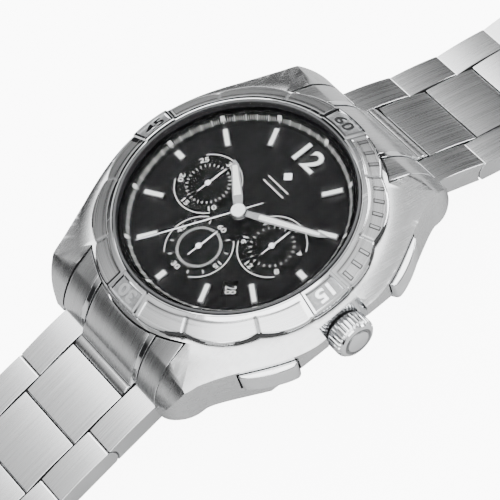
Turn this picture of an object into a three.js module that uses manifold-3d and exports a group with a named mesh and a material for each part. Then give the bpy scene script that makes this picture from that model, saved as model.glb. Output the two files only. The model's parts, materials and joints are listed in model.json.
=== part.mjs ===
// A steel chronograph wristwatch on a three-link bracelet, opened at the clasp and standing with
// both arms spread. Millimetres. The origin is the centre of the case back's outer face, +Z runs
// out through the crystal, +X towards the crown at 3 o'clock and +Y towards 12 o'clock.
import * as THREE from "three";
import { mergeVertices } from "three/addons/utils/BufferGeometryUtils.js";
import Module from "manifold-3d";

const wasm = await Module();
wasm.setup();

// ---------------------------------------------------------------- Driving dimensions

// Fineness of round shapes.
const ROUND_SIDES = 48;
const SMALL_SIDES = 12;
const PIN_SIDES = 8;
const KNUCKLE_STEPS = 4;
const LINK_STEPS = 4;
const LUG_STEPS = 6;
const FLANK_STEPS = 7;
const TIP_STEPS = 4;

// Clearances.
const FIT_GAP = 0.2; // between pieces that seat in or beside each other
const RUN_GAP = 0.2; // between pieces that move past each other
const BORE_GAP = 0.2; // round a pin, stem or arbor, on the radius
const SEAT_GAP = 0.1; // between pieces that lie face to face
const CLEAR = 40; // reach of a cutting tool past the whole head

// Crystal and its gasket.
const CRYSTAL_R = 16.95;
const CRYSTAL_THICK = 1.6;
const CRYSTAL_CHAMFER = 0.35;
const GASKET_WALL = 0.4;
const GASKET_DROP = 0.4; // top of the gasket below the crystal's top
const GASKET_R = CRYSTAL_R + SEAT_GAP / 2 + GASKET_WALL;

// Opening for the movement, dial and crystal.
const CRYSTAL_LEDGE = 0.55; // width of the step the crystal stands on
const CAVITY_R = CRYSTAL_R - CRYSTAL_LEDGE;
const COLLAR_WALL = 0.85;
const COLLAR_INNER_R = GASKET_R + SEAT_GAP / 2;
const COLLAR_OUTER_R = COLLAR_INNER_R + COLLAR_WALL;

// Heights through the head.
const DIAL_TOP_Z = 9.4;
const FLANGE_HEIGHT = 1.6; // dial to the crystal's ledge
const CRYSTAL_LEDGE_Z = DIAL_TOP_Z + FLANGE_HEIGHT;
const CRYSTAL_TOP_Z = CRYSTAL_LEDGE_Z + SEAT_GAP + CRYSTAL_THICK;
const GASKET_TOP_Z = CRYSTAL_TOP_Z - GASKET_DROP;
const COLLAR_TOP_Z = CRYSTAL_LEDGE_Z + 0.25;
const CASE_TOP_Z = DIAL_TOP_Z + 0.2;
const CASE_UNDER_Z = 1.4;

// Rotating bezel and the spring it clicks on.
const CLICK_SPRING_WIDTH = 0.7;
const CLICK_SPRING_THICK = 0.3;
const CLICK_SPRING_R = COLLAR_OUTER_R + CLICK_SPRING_WIDTH + 0.7;
const BEZEL_INNER_R = COLLAR_INNER_R + 0.1;
const BEZEL_OUTER_R = CLICK_SPRING_R + 1.3;
const BEZEL_NOTCH_DEPTH = 0.75; // of the outline at each hour
const BEZEL_TOP_Z = CRYSTAL_TOP_Z - 0.2;
const BEZEL_FALL = 1.6; // top surface, inner to outer edge
const BEZEL_SEAT_Z = CASE_TOP_Z + 0.2;
const GRIP_DEPTH = 0.7;
const GRIP_DEGREES = 12;

// Case.
const BODY_WALL_R = BEZEL_OUTER_R; // round case wall between the lugs
const CASE_HALF_WIDTH = BODY_WALL_R + 0.8; // centre to the 9 o'clock flank
const GUARD_REACH = BODY_WALL_R + 2.2; // centre to the crown guards
const GUARD_HALF_SPAN = 4.3; // crown guards' tips from the centre line
const NINE_FLAT_HALF = 1.5; // straight middle of the 9 o'clock flank
const SHOULDER_Y = BODY_WALL_R - 2.5; // where the lugs begin to drop
const LUG_WAIST_Y = BODY_WALL_R - 0.5; // where the lug's tip begins to round in
const LUG_END_Y = BODY_WALL_R + 4.8; // lug tips from the centre
const LUG_DROP_Z = 1.9; // top of the lug's end face
const LUG_LOW_Z = 0.4; // lowest point of the lugs
const LUG_NOSE_R = 0.7;
const EDGE_DROP = 1.2; // fall of the case's top from the bezel to the guards
const FLANK_UNDERCUT = 1.4; // how far the flank draws in below its widest line
const FLANK_WIDEST_Z = 6.2;

// Bracelet across its width.
const BRACELET_HALF = 10.8;
const OUTER_LINK_WIDTH = 4.75;
const CENTRE_HALF = BRACELET_HALF - OUTER_LINK_WIDTH - FIT_GAP;
const LUG_GAP_HALF = BRACELET_HALF + FIT_GAP;
const LUG_OUTER_HALF = LUG_GAP_HALF + 5.1; // lug flank from the centre line
const LUG_TIP_HALF = LUG_GAP_HALF + 1.4; // flat end of the lug
const SPRING_BAR_HALF = LUG_GAP_HALF + 1.4;

// Bracelet along its length.
const LINK_PITCH = 9.4;
const LINK_THICK = 3.2;
const LINK_CROWN = 0.2; // rise of the link's top between its ends
const KNUCKLE_R = LINK_THICK / 2 + 0.4;
const PIN_R = 0.5;
const FIXING_PIN_BACK = 3.8; // before the next hinge pin
const FIXING_PIN_AT = LINK_PITCH - FIXING_PIN_BACK;
const FIRST_PIN = [LUG_END_Y + 0.3, -0.8]; // y and z of the pin in the end link
const SPRING_BAR_AT = [LUG_END_Y - 2.9, LUG_LOW_Z + 2.2];
const SPRING_BAR_R = 0.75;
const SHOULDER_INSET = 0.6; // spring bar's shoulder from the lug
const END_LINK_LOW_Z = 0;
// Slope of each row below the horizontal, from the case outwards.
const ARM_12_SLOPES = [27, 20, 12, 5, 0];
const ARM_6_SLOPES = [13, 14, 13, 10, 5];
const CLASP_SLOPE = 3;

// Dial, flange ring and date ring.
const DIAL_THICK = 0.4;
const DIAL_R = CAVITY_R - FIT_GAP;
const SUBDIAL_OFFSET = 7.29;
const DATE_OFFSET = DIAL_R - 4.5;
const DATE_WINDOW = 2.1;
const REHAUT_INNER_R = CAVITY_R - 1.2;
const DATE_RING_WIDTH = 2.6;
const DATE_RING_THICK = 0.25;

// Hands.
const HAND_THICK = 0.15;
const SMALL_HAND_Z = DIAL_TOP_Z + 0.2;
const HOUR_HAND = {
  z: SMALL_HAND_Z + 0.35,
  length: REHAUT_INNER_R - 6.3,
  width: 1.5,
  tail: 0,
  hub: 1.25,
  bore: 0.8,
};
const MINUTE_HAND = {
  z: SMALL_HAND_Z + 0.65,
  length: REHAUT_INNER_R - 1.5,
  width: 1.2,
  tail: 0,
  hub: 1.15,
  bore: 0.45,
};
const SWEEP_HAND = {
  z: SMALL_HAND_Z + 0.95,
  length: REHAUT_INNER_R - 0.3,
  width: 0.36,
  tail: 3.6,
  hub: 1.1,
  bore: 0,
};
const SMALL_HAND = { z: SMALL_HAND_Z, length: 3.5, width: 0.42, tail: 1.9, hub: 0.5, bore: 0 };
const ARBOR_WALL = 0.2;
const SWEEP_ARBOR_R = 0.25;
const HOUR_HAND_ANGLE = 304; // clockwise from 12
const MINUTE_HAND_ANGLE = 63;
const SWEEP_HAND_ANGLE = 206;

// Movement.
const HOLDER_WALL = 0.65;
const MOVEMENT_R = CAVITY_R - HOLDER_WALL - 0.35;
const MOVEMENT_TOP_Z = DIAL_TOP_Z - 1;
const MOVEMENT_THICK = 3.8;
const MOVEMENT_UNDER_Z = MOVEMENT_TOP_Z - MOVEMENT_THICK;
const BRIDGE_THICK = 0.9;
const BATTERY_R = 4.75;
const BATTERY_THICK = 1.9;
const BATTERY_OFFSET = MOVEMENT_R - BATTERY_R - 1.45;
const BATTERY_ANGLE = 285;
const COIL_R = 1.1;
const COIL_LENGTH = 9.0;
const COIL_PLACE = [-7.6, -8.8];
const COIL_TURN = -38;

// Case back.
const CASE_BACK_R = CAVITY_R + 2.4;
const CASE_BACK_NECK_Z = CASE_UNDER_Z + 0.9;
const CASE_BACK_NECK_WALL = 1.2;
const BACK_GASKET_R = CASE_BACK_R - 0.9;
const BACK_GASKET_WIDTH = 0.7;
const BACK_GASKET_THICK = 0.6;

// Crown, stem and tube.
const CROWN_Z = DIAL_TOP_Z - 4;
const CROWN_R = 3.1;
const CROWN_FROM_X = BODY_WALL_R + 0.9;
const CROWN_LENGTH = 3.3;
const CROWN_TO_X = CROWN_FROM_X + CROWN_LENGTH;
const CROWN_FACE = 0.5; // height of the domed face
const CROWN_FLUTES = 20;
const FLUTE_DEPTH = 0.25;
const STEM_R = 0.55;
const STEM_FROM_X = 9.0;
const STEM_GROOVE_X = 12.2;
const STEM_GROOVE_R = 0.3;
const STEM_INTO_CROWN = 2.2;
const LEVER_THICK = 0.5;
const TUBE_WALL = 0.6;

// Pushers.
const PUSHER_ANGLE = 30; // from the crown's axis
const PUSHER_FACE_R = BODY_WALL_R + 4; // centre to the pusher's outer face
const PUSHER_DEPTH = 2.7;
const PUSHER_HALF_LENGTH = 4.1;
const PUSHER_Z = CROWN_Z + 0.4;
const PUSHER_HEIGHT = 3.4;
const PUSHER_TRAVEL = 0.9;
const PLUNGER_R = 0.7;
const PLUNGER_END_R = CAVITY_R + 0.8;
const SPRING_R = 1.25;
const SPRING_WIRE = 0.16;
const SPRING_TURNS = 2.5;
const SPRING_LENGTH = 1.2;

// Clasp, along the cover from its hinge pin.
const CLASP_LENGTH = 24;
const COVER_THICK = 0.9;
const COVER_TOP = LINK_THICK / 2 + 0.3;
const COVER_WALL = 1.1;
const COVER_WALL_LOW = -1.5;
const BLADE_THICK = 0.8;
const BLADE_HALF = BRACELET_HALF - 2.6;
const INNER_BLADE_HALF = BLADE_HALF - 3.2;
const BLADE_NEAR = 5.0; // hinge between the blades
const BLADE_FAR = CLASP_LENGTH - 2.2; // hinge between cover and outer blade
const OUTER_BLADE_MID = -0.1;
const INNER_BLADE_MID = -1.15;
const BLADE_PIN_R = 0.4;
const BLADE_KNUCKLE_R = 0.75;
const BUTTON_AT = CLASP_LENGTH - 10.5;
const BUTTON_HALF = 2.4;
const BUTTON_HEIGHT = 1.4;
const BUTTON_PROUD = 0.6;
const BUTTON_DEPTH = 1.9;

// ---------------------------------------------------------------- Finishes

const finish = (color, roughness, metalness) =>
  new THREE.MeshStandardMaterial({ color, roughness, metalness });
const BRUSHED_STEEL = finish(0xc9cbcd, 0.35, 1);
const POLISHED_STEEL = finish(0xe2e4e6, 0.08, 1);
const DARK_STEEL = finish(0x8d9092, 0.4, 1);
const BRASS = finish(0xc8a765, 0.3, 1);
const COPPER = finish(0xb26a3c, 0.4, 1);
const BLACK_DIAL = finish(0x101112, 0.45, 0.1);
const BLACK_RUBBER = finish(0x1a1a1b, 0.8, 0);
const GREY_POLYMER = finish(0x6f7275, 0.5, 0);
const WHITE_POLYMER = finish(0xe8e8e4, 0.5, 0);
const GLASS = finish(0xf2f6f8, 0.02, 0);

// ---------------------------------------------------------------- Solids

// A closed geometry as a solid, turned the right way out.
function solidOf(geometry) {
  const bare = geometry.clone();
  bare.deleteAttribute("normal");
  bare.deleteAttribute("uv");
  const merged = mergeVertices(bare, 1e-4);
  const corners = merged.index.array;
  const kept = [];
  for (let i = 0; i < corners.length; i += 3) {
    const [a, b, c] = corners.slice(i, i + 3);
    if (a !== b && b !== c && c !== a) kept.push(a, b, c);
  }
  const build = (triVerts) =>
    new wasm.Manifold(
      new wasm.Mesh({
        numProp: 3,
        vertProperties: new Float32Array(merged.attributes.position.array),
        triVerts: new Uint32Array(triVerts),
      }),
    );
  const made = build(kept);
  return made.volume() > 0 ? made : build(kept.reverse());
}

const joined = (...solids) => solids.reduce((all, next) => all.add(next));
const cut = (base, ...tools) => tools.reduce((left, tool) => left.subtract(tool), base);

// A closed outline of [x, y] points raised from z0 to z1.
function raised(outline, z0, z1) {
  const shape = new THREE.Shape(outline.map(([x, y]) => new THREE.Vector2(x, y)));
  const geometry = new THREE.ExtrudeGeometry(shape, { depth: z1 - z0, bevelEnabled: false });
  return solidOf(geometry.translate(0, 0, z0));
}

// A closed outline of [y, z] points drawn out along X from x0 to x1.
function acrossX(outline, x0, x1) {
  const shape = new THREE.Shape(outline.map(([y, z]) => new THREE.Vector2(y, z)));
  const geometry = new THREE.ExtrudeGeometry(shape, { depth: x1 - x0, bevelEnabled: false });
  const turn = new THREE.Matrix4().set(0, 0, 1, x0, 1, 0, 0, 0, 0, 1, 0, 0, 0, 0, 0, 1);
  return solidOf(geometry.applyMatrix4(turn));
}

// A closed profile of [radius, z] points turned about the Z axis.
function turned(profile, sides = ROUND_SIDES) {
  const points = profile.map(([r, z]) => new THREE.Vector2(r, z));
  if (profile[0][0] > 0) points.push(points[0].clone());
  return solidOf(new THREE.LatheGeometry(points, sides).rotateX(Math.PI / 2));
}

const ring = (inner, outer, z0, z1, sides) =>
  turned(
    [
      [inner, z0],
      [outer, z0],
      [outer, z1],
      [inner, z1],
    ],
    sides,
  );

function block(x0, x1, y0, y1, z0, z1) {
  const geometry = new THREE.BoxGeometry(x1 - x0, y1 - y0, z1 - z0);
  return solidOf(geometry.translate((x0 + x1) / 2, (y0 + y1) / 2, (z0 + z1) / 2));
}

function rodZ(radius, z0, z1, x = 0, y = 0, sides = SMALL_SIDES) {
  const geometry = new THREE.CylinderGeometry(radius, radius, z1 - z0, sides);
  return solidOf(geometry.rotateX(Math.PI / 2).translate(x, y, (z0 + z1) / 2));
}

function rodX(radius, x0, x1, y = 0, z = 0, sides = SMALL_SIDES) {
  const geometry = new THREE.CylinderGeometry(radius, radius, x1 - x0, sides);
  return solidOf(geometry.rotateZ(Math.PI / 2).translate((x0 + x1) / 2, y, z));
}

function moved(solid, matrix) {
  const geometry = geometryOf(solid);
  return solidOf(geometry.applyMatrix4(matrix));
}

const turnZ = (solid, degrees) =>
  moved(solid, new THREE.Matrix4().makeRotationZ(THREE.MathUtils.degToRad(degrees)));

function arc(cx, cy, radius, from, to, steps) {
  return Array.from({ length: steps + 1 }, (_, i) => {
    const angle = THREE.MathUtils.degToRad(from + ((to - from) * i) / steps);
    return [cx + radius * Math.cos(angle), cy + radius * Math.sin(angle)];
  });
}

const bezier = (a, b, c, d, steps) =>
  new THREE.CubicBezierCurve(...[a, b, c, d].map(([x, y]) => new THREE.Vector2(x, y)))
    .getPoints(steps)
    .map((p) => [p.x, p.y]);

// A place at a clock angle, in degrees clockwise from 12.
function clockPlace(radius, degrees) {
  const angle = THREE.MathUtils.degToRad(degrees);
  return [radius * Math.sin(angle), radius * Math.cos(angle)];
}

function geometryOf(solid) {
  const mesh = solid.getMesh();
  const geometry = new THREE.BufferGeometry();
  geometry.setAttribute("position", new THREE.BufferAttribute(mesh.vertProperties, 3));
  geometry.setIndex(new THREE.BufferAttribute(mesh.triVerts, 1));
  return geometry;
}

function piece(name, solid, material) {
  const geometry = geometryOf(solid);
  geometry.computeVertexNormals();
  const mesh = new THREE.Mesh(geometry, material);
  mesh.name = name;
  return mesh;
}

// ---------------------------------------------------------------- Case

// The lug's top edge, from the flat shoulder down to its end face, as [y, z] points.
function lugTop(steps) {
  const fall = CASE_TOP_Z - LUG_DROP_Z;
  const reach = LUG_END_Y - 0.3 - SHOULDER_Y;
  return bezier(
    [SHOULDER_Y, CASE_TOP_Z],
    [SHOULDER_Y + 0.43 * reach, CASE_TOP_Z - 0.127 * fall],
    [SHOULDER_Y + 0.93 * reach, CASE_TOP_Z - 0.633 * fall],
    [SHOULDER_Y + reach, LUG_DROP_Z],
    steps,
  );
}

const mirroredY = (points) => points.map(([y, z]) => [-y, z]).reverse();

function caseSideOutline() {
  const half = [
    ...lugTop(LUG_STEPS),
    ...arc(LUG_END_Y - LUG_NOSE_R, LUG_LOW_Z + LUG_NOSE_R, LUG_NOSE_R, 0, -90, 3),
    ...bezier(
      [LUG_END_Y - 2, LUG_LOW_Z],
      [LUG_END_Y - 4.5, LUG_LOW_Z],
      [BODY_WALL_R, CASE_UNDER_Z],
      [CASE_BACK_R + FIT_GAP, CASE_UNDER_Z],
      4,
    ),
  ];
  return [...half, ...mirroredY(half)];
}

// One flank seen from above, from the middle of the case to the lug's tip. The factors shape the
// curve between its ends.
function flank(reach, flatHalf) {
  const span = LUG_WAIST_Y - flatHalf;
  const tip = LUG_END_Y - LUG_WAIST_Y;
  return [
    ...bezier(
      [reach, flatHalf],
      [reach - 0.25, flatHalf + 0.33 * span],
      [LUG_OUTER_HALF + 0.33 * (reach - LUG_OUTER_HALF), LUG_WAIST_Y - 0.34 * span],
      [LUG_OUTER_HALF, LUG_WAIST_Y],
      FLANK_STEPS,
    ),
    ...bezier(
      [LUG_OUTER_HALF, LUG_WAIST_Y],
      [LUG_OUTER_HALF - 0.5, LUG_WAIST_Y + 0.47 * tip],
      [LUG_TIP_HALF + 1.9, LUG_END_Y - 0.15 * tip],
      [LUG_TIP_HALF, LUG_END_Y],
      TIP_STEPS,
    ).slice(1),
    [LUG_GAP_HALF, LUG_END_Y],
  ];
}

function casePlan() {
  const crownSide = flank(GUARD_REACH, GUARD_HALF_SPAN);
  const nineSide = flank(CASE_HALF_WIDTH, NINE_FLAT_HALF);
  const lower = (points) => points.map(([x, y]) => [x, -y]).reverse();
  const left = (points) => points.map(([x, y]) => [-x, y]);
  return [
    ...lower(crownSide),
    ...crownSide,
    ...left(nineSide).reverse(),
    ...left(lower(nineSide)).reverse(),
  ];
}

// Seen along Y, the flanks draw in below their widest line.
function flankSection() {
  const wide = CASE_HALF_WIDTH + FLANK_UNDERCUT;
  const foot = CASE_HALF_WIDTH - FLANK_UNDERCUT;
  const half = [
    [foot, CASE_UNDER_Z - 2],
    [foot, CASE_UNDER_Z],
    [wide, FLANK_WIDEST_Z],
    [wide, CASE_TOP_Z + 1],
  ];
  const across = raised([...half, ...half.map(([x, z]) => [-x, z]).reverse()], -CLEAR, CLEAR);
  return moved(across, new THREE.Matrix4().makeRotationX(Math.PI / 2));
}

// Everything above this turned surface is cut from the case.
function caseCrest() {
  const reach = GUARD_REACH + 10;
  return turned([
    [0, LUG_LOW_Z - 1],
    [reach, LUG_LOW_Z - 1],
    [reach, CASE_TOP_Z - 4 * EDGE_DROP],
    [GUARD_REACH, CASE_TOP_Z - EDGE_DROP],
    [BODY_WALL_R, CASE_TOP_Z],
    [0, CASE_TOP_Z],
  ]);
}

// A solid drawn with its outward axis along +X, turned to a pusher's place.
const atPusher = (solid, side) => turnZ(solid, side * PUSHER_ANGLE);

function pusherPocket(side) {
  const half = PUSHER_HALF_LENGTH + RUN_GAP;
  const halfHeight = PUSHER_HEIGHT / 2 + RUN_GAP;
  const bottom = PUSHER_FACE_R - PUSHER_DEPTH - PUSHER_TRAVEL - RUN_GAP;
  const springRoom = SPRING_R + SPRING_WIRE + BORE_GAP;
  const slot = block(bottom, CLEAR, -half, half, PUSHER_Z - halfHeight, PUSHER_Z + halfHeight);
  const well = rodX(springRoom, bottom - SPRING_LENGTH - 0.3, bottom + 1, 0, PUSHER_Z);
  const tunnel = rodX(PLUNGER_R + BORE_GAP, CAVITY_R - 1, bottom, 0, PUSHER_Z);
  return atPusher(joined(slot, well, tunnel), side);
}

function lugGap(side) {
  const far = side * (LUG_END_Y + 10);
  const gap = block(-LUG_GAP_HALF, LUG_GAP_HALF, Math.min(0, far), Math.max(0, far), -10, 30);
  return cut(gap, rodZ(BODY_WALL_R, -11, 31, 0, 0, ROUND_SIDES));
}

function springBarHoles(side) {
  const reach = SPRING_BAR_HALF + FIT_GAP;
  return rodX(SPRING_BAR_R + BORE_GAP, -reach, reach, side * SPRING_BAR_AT[0], SPRING_BAR_AT[1]);
}

function caseMiddle() {
  const outer = acrossX(caseSideOutline(), -CLEAR, CLEAR).intersect(raised(casePlan(), -10, 30));
  const shell = outer.intersect(caseCrest()).intersect(flankSection());
  const collar = ring(CAVITY_R, COLLAR_OUTER_R, CASE_TOP_Z - 1, COLLAR_TOP_Z);
  const tubeR = STEM_R + BORE_GAP + TUBE_WALL + FIT_GAP;
  const gasketRoom = ring(
    BACK_GASKET_R - BACK_GASKET_WIDTH - FIT_GAP,
    BACK_GASKET_R + FIT_GAP,
    CASE_UNDER_Z - 1,
    CASE_UNDER_Z + BACK_GASKET_THICK + FIT_GAP,
  );
  return cut(
    joined(shell, collar),
    rodZ(CAVITY_R, -10, 30, 0, 0, ROUND_SIDES),
    rodZ(COLLAR_INNER_R, CRYSTAL_LEDGE_Z, 30, 0, 0, ROUND_SIDES),
    lugGap(1),
    lugGap(-1),
    springBarHoles(1),
    springBarHoles(-1),
    gasketRoom,
    pusherPocket(1),
    pusherPocket(-1),
    rodX(tubeR, CAVITY_R - 1, 30, 0, CROWN_Z),
    crownRoom(),
  );
}

// The crown's seat between its guards, open upwards.
function crownRoom() {
  const room = CROWN_R + 2 * RUN_GAP;
  const from = CROWN_FROM_X - RUN_GAP;
  return joined(
    rodX(room, from, CLEAR, 0, CROWN_Z, 24),
    block(from, CLEAR, -room, room, CROWN_Z, 30),
  );
}

function caseBack() {
  const under = CASE_UNDER_Z - SEAT_GAP;
  return turned([
    [0, 0],
    [CASE_BACK_R - 1.2, 0],
    [CASE_BACK_R, under - 0.5],
    [CASE_BACK_R, under],
    [CAVITY_R - FIT_GAP, under],
    [CAVITY_R - FIT_GAP, CASE_BACK_NECK_Z],
    [CAVITY_R - FIT_GAP - CASE_BACK_NECK_WALL, CASE_BACK_NECK_Z],
    [CAVITY_R - FIT_GAP - CASE_BACK_NECK_WALL, under],
    [0, under],
  ]);
}

const caseBackGasket = () =>
  ring(
    BACK_GASKET_R - BACK_GASKET_WIDTH,
    BACK_GASKET_R,
    CASE_UNDER_Z,
    CASE_UNDER_Z + BACK_GASKET_THICK,
  );

// ---------------------------------------------------------------- Bezel and crystal

// Twelve flats with their corners between the hours and a shallow notch at each hour.
function bezelPlan() {
  return Array.from({ length: 48 }, (_, i) => {
    const fromHour = Math.abs((i % 4) - 2) / 2;
    const radius = BEZEL_OUTER_R - BEZEL_NOTCH_DEPTH * fromHour ** 2;
    return clockPlace(radius, -7.5 * i);
  });
}

function gripRecess(hour) {
  const half = BEZEL_OUTER_R * Math.sin(THREE.MathUtils.degToRad(GRIP_DEGREES / 2));
  const inner = BEZEL_OUTER_R - BEZEL_NOTCH_DEPTH - GRIP_DEPTH + 0.3;
  const low = BEZEL_SEAT_Z + 0.25;
  const recess = block(inner, CLEAR, -half, half, low, BEZEL_TOP_Z - BEZEL_FALL - 0.15);
  return turnZ(recess, 30 * hour + 15);
}

function bezel() {
  const roof = COLLAR_TOP_Z + RUN_GAP;
  const skirt = COLLAR_OUTER_R + RUN_GAP;
  const body = turned([
    [BEZEL_INNER_R, roof],
    [skirt, roof],
    [skirt, BEZEL_SEAT_Z + 0.6],
    [CLICK_SPRING_R + 2 * RUN_GAP, BEZEL_SEAT_Z + 0.6],
    [CLICK_SPRING_R + 2 * RUN_GAP, BEZEL_SEAT_Z],
    [BEZEL_OUTER_R, BEZEL_SEAT_Z],
    [BEZEL_OUTER_R, BEZEL_TOP_Z - BEZEL_FALL],
    [BEZEL_INNER_R, BEZEL_TOP_Z],
  ]);
  const grips = Array.from({ length: 12 }, (_, hour) => gripRecess(hour));
  return cut(body.intersect(raised(bezelPlan(), 0, 20)), ...grips);
}

// A split ring that clicks in the bezel's underside.
function bezelClickSpring() {
  const low = CASE_TOP_Z + 0.1;
  const inner = CLICK_SPRING_R - CLICK_SPRING_WIDTH;
  const whole = ring(inner, CLICK_SPRING_R, low, low + CLICK_SPRING_THICK);
  return cut(whole, block(0, CLEAR, -0.6, 0.6, 0, 20));
}

const crystal = () =>
  turned([
    [0, CRYSTAL_LEDGE_Z + SEAT_GAP],
    [CRYSTAL_R, CRYSTAL_LEDGE_Z + SEAT_GAP],
    [CRYSTAL_R, CRYSTAL_TOP_Z - CRYSTAL_CHAMFER],
    [CRYSTAL_R - CRYSTAL_CHAMFER, CRYSTAL_TOP_Z],
    [0, CRYSTAL_TOP_Z],
  ]);

const crystalGasket = () =>
  ring(GASKET_R - GASKET_WALL, GASKET_R, CRYSTAL_LEDGE_Z + SEAT_GAP / 2, GASKET_TOP_Z);

// ---------------------------------------------------------------- Dial side

const rehautRing = () =>
  turned([
    [REHAUT_INNER_R, DIAL_TOP_Z + 0.05],
    [CAVITY_R - 0.1, DIAL_TOP_Z + 0.05],
    [CAVITY_R - 0.1, CRYSTAL_LEDGE_Z],
    [REHAUT_INNER_R + 0.1, DIAL_TOP_Z + 0.25],
    [REHAUT_INNER_R, DIAL_TOP_Z + 0.2],
  ]);

const SUBDIAL_ANGLES = { minuteCounter: 270, smallSeconds: 180, dayHours: 90 };

// Bores for the arbors of the three small hands.
const arborBores = () =>
  Object.values(SUBDIAL_ANGLES).map((angle) =>
    rodZ(SWEEP_ARBOR_R + BORE_GAP, 0, 20, ...clockPlace(SUBDIAL_OFFSET, angle), PIN_SIDES),
  );

function dial() {
  const low = DIAL_TOP_Z - DIAL_THICK;
  const hourTube = HOUR_HAND.bore + ARBOR_WALL + BORE_GAP;
  const half = DATE_WINDOW / 2;
  const window = block(-half, half, DATE_OFFSET - half, DATE_OFFSET + half, 0, 20);
  return cut(
    turned([
      [0, low],
      [DIAL_R, low],
      [DIAL_R, DIAL_TOP_Z],
      [0, DIAL_TOP_Z],
    ]),
    rodZ(hourTube, 0, 20),
    ...arborBores(),
    turnZ(window, -135),
  );
}

function dateRing() {
  const low = MOVEMENT_TOP_Z + FIT_GAP;
  const inner = DATE_OFFSET - DATE_RING_WIDTH / 2;
  return ring(inner, inner + DATE_RING_WIDTH, low, low + DATE_RING_THICK, 62);
}

// A tapered hand drawn towards +Y, with its arbor or tube reaching down into the movement.
function hand({ z, length, width, tail, hub, bore }) {
  const half = width / 2;
  const blade = raised(
    [
      [-half * 0.55, -tail],
      [half * 0.55, -tail],
      [half * 0.7, 0],
      [half, length * 0.3],
      [half * 0.75, length * 0.9],
      [0.08, length],
      [-0.08, length],
      [-half * 0.75, length * 0.9],
      [-half, length * 0.3],
      [-half * 0.7, 0],
    ],
    z,
    z + HAND_THICK,
  );
  const foot = MOVEMENT_TOP_Z + 0.4 * (SWEEP_HAND.z - z);
  const arborR = bore > 0 ? bore + ARBOR_WALL : SWEEP_ARBOR_R;
  const body = joined(blade, rodZ(hub, z, z + HAND_THICK), rodZ(arborR, foot, z + 0.05));
  return bore > 0 ? cut(body, rodZ(bore, 0, 20)) : body;
}

// A hand as a mesh, standing on its arbor's place and pointing to a clock angle.
function handMesh(name, sizes, pointing, place = [0, 0]) {
  const mesh = piece(name, hand(sizes), POLISHED_STEEL);
  mesh.position.set(place[0], place[1], 0);
  mesh.rotation.z = THREE.MathUtils.degToRad(-pointing);
  return mesh;
}

// ---------------------------------------------------------------- Movement

function stemChannel() {
  const half = STEM_R + 4 * BORE_GAP;
  return block(STEM_FROM_X - 1.5, CLEAR, -half, half, -10, CROWN_Z + half);
}

function pusherChannel(side) {
  return atPusher(rodX(PLUNGER_R + 2 * BORE_GAP, PLUNGER_END_R - 3, CLEAR, 0, PUSHER_Z), side);
}

function movementHolder() {
  const outer = CAVITY_R - 0.1;
  const whole = ring(outer - HOLDER_WALL, outer, MOVEMENT_UNDER_Z, DIAL_TOP_Z - DIAL_THICK - 0.1);
  return cut(whole, stemChannel(), pusherChannel(1), pusherChannel(-1));
}

const BATTERY_PLACE = clockPlace(BATTERY_OFFSET, BATTERY_ANGLE);

function movementPlate() {
  const pocket = rodZ(
    BATTERY_R + FIT_GAP,
    -10,
    MOVEMENT_UNDER_Z + BATTERY_THICK / 2,
    ...BATTERY_PLACE,
    32,
  );
  const plate = turned([
    [0, MOVEMENT_UNDER_Z],
    [MOVEMENT_R, MOVEMENT_UNDER_Z],
    [MOVEMENT_R, MOVEMENT_TOP_Z],
    [0, MOVEMENT_TOP_Z],
  ]);
  const hourTube = HOUR_HAND.bore + ARBOR_WALL + BORE_GAP;
  return cut(plate, pocket, stemChannel(), rodZ(hourTube, 0, 20), ...arborBores());
}

// The bridge spans the half of the plate that the battery leaves free.
function trainBridge() {
  const top = MOVEMENT_UNDER_Z - 0.1;
  const disc = rodZ(MOVEMENT_R - 1, top - BRIDGE_THICK, top, 0, 0, ROUND_SIDES);
  const keep = block(-2.5, CLEAR, -MOVEMENT_R, MOVEMENT_R, 0, 20);
  return cut(disc.intersect(keep), stemChannel());
}

function battery() {
  const top = MOVEMENT_UNDER_Z + BATTERY_THICK / 2 - FIT_GAP;
  return rodZ(BATTERY_R, top - BATTERY_THICK, top, ...BATTERY_PLACE, 32);
}

function motorCoil() {
  const z = MOVEMENT_UNDER_Z - COIL_R - 0.1;
  const half = COIL_LENGTH / 2;
  const core = rodX(COIL_R, -half, half, 0, z);
  const ends = [-half, half].map((x) => block(x - 0.5, x + 0.5, -1.1, 1.1, z - 1, z + 1));
  const coil = joined(core, ...ends);
  return moved(turnZ(coil, COIL_TURN), new THREE.Matrix4().makeTranslation(...COIL_PLACE, 0));
}

// A fork that rides in the stem's groove and travels with it.
function settingLever() {
  const half = STEM_R + 2 * BORE_GAP;
  const x0 = STEM_GROOVE_X - LEVER_THICK / 2;
  const plate = block(x0, x0 + LEVER_THICK, -half, half, CROWN_Z - 1.5, CROWN_Z + 0.8);
  const slotHalf = STEM_GROOVE_R + 0.1;
  return cut(plate, block(0, CLEAR, -slotHalf, slotHalf, CROWN_Z - slotHalf, 20));
}

// ---------------------------------------------------------------- Crown and pushers

function windingStem() {
  const end = CROWN_FROM_X + STEM_INTO_CROWN;
  const grooveHalf = LEVER_THICK / 2 + 0.15;
  const rod = rodX(STEM_R, STEM_FROM_X, end, 0, CROWN_Z);
  const neck = cut(
    rodX(STEM_R + 1, STEM_GROOVE_X - grooveHalf, STEM_GROOVE_X + grooveHalf, 0, CROWN_Z),
    rodX(STEM_GROOVE_R, 0, CLEAR, 0, CROWN_Z),
  );
  return cut(rod, neck);
}

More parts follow.
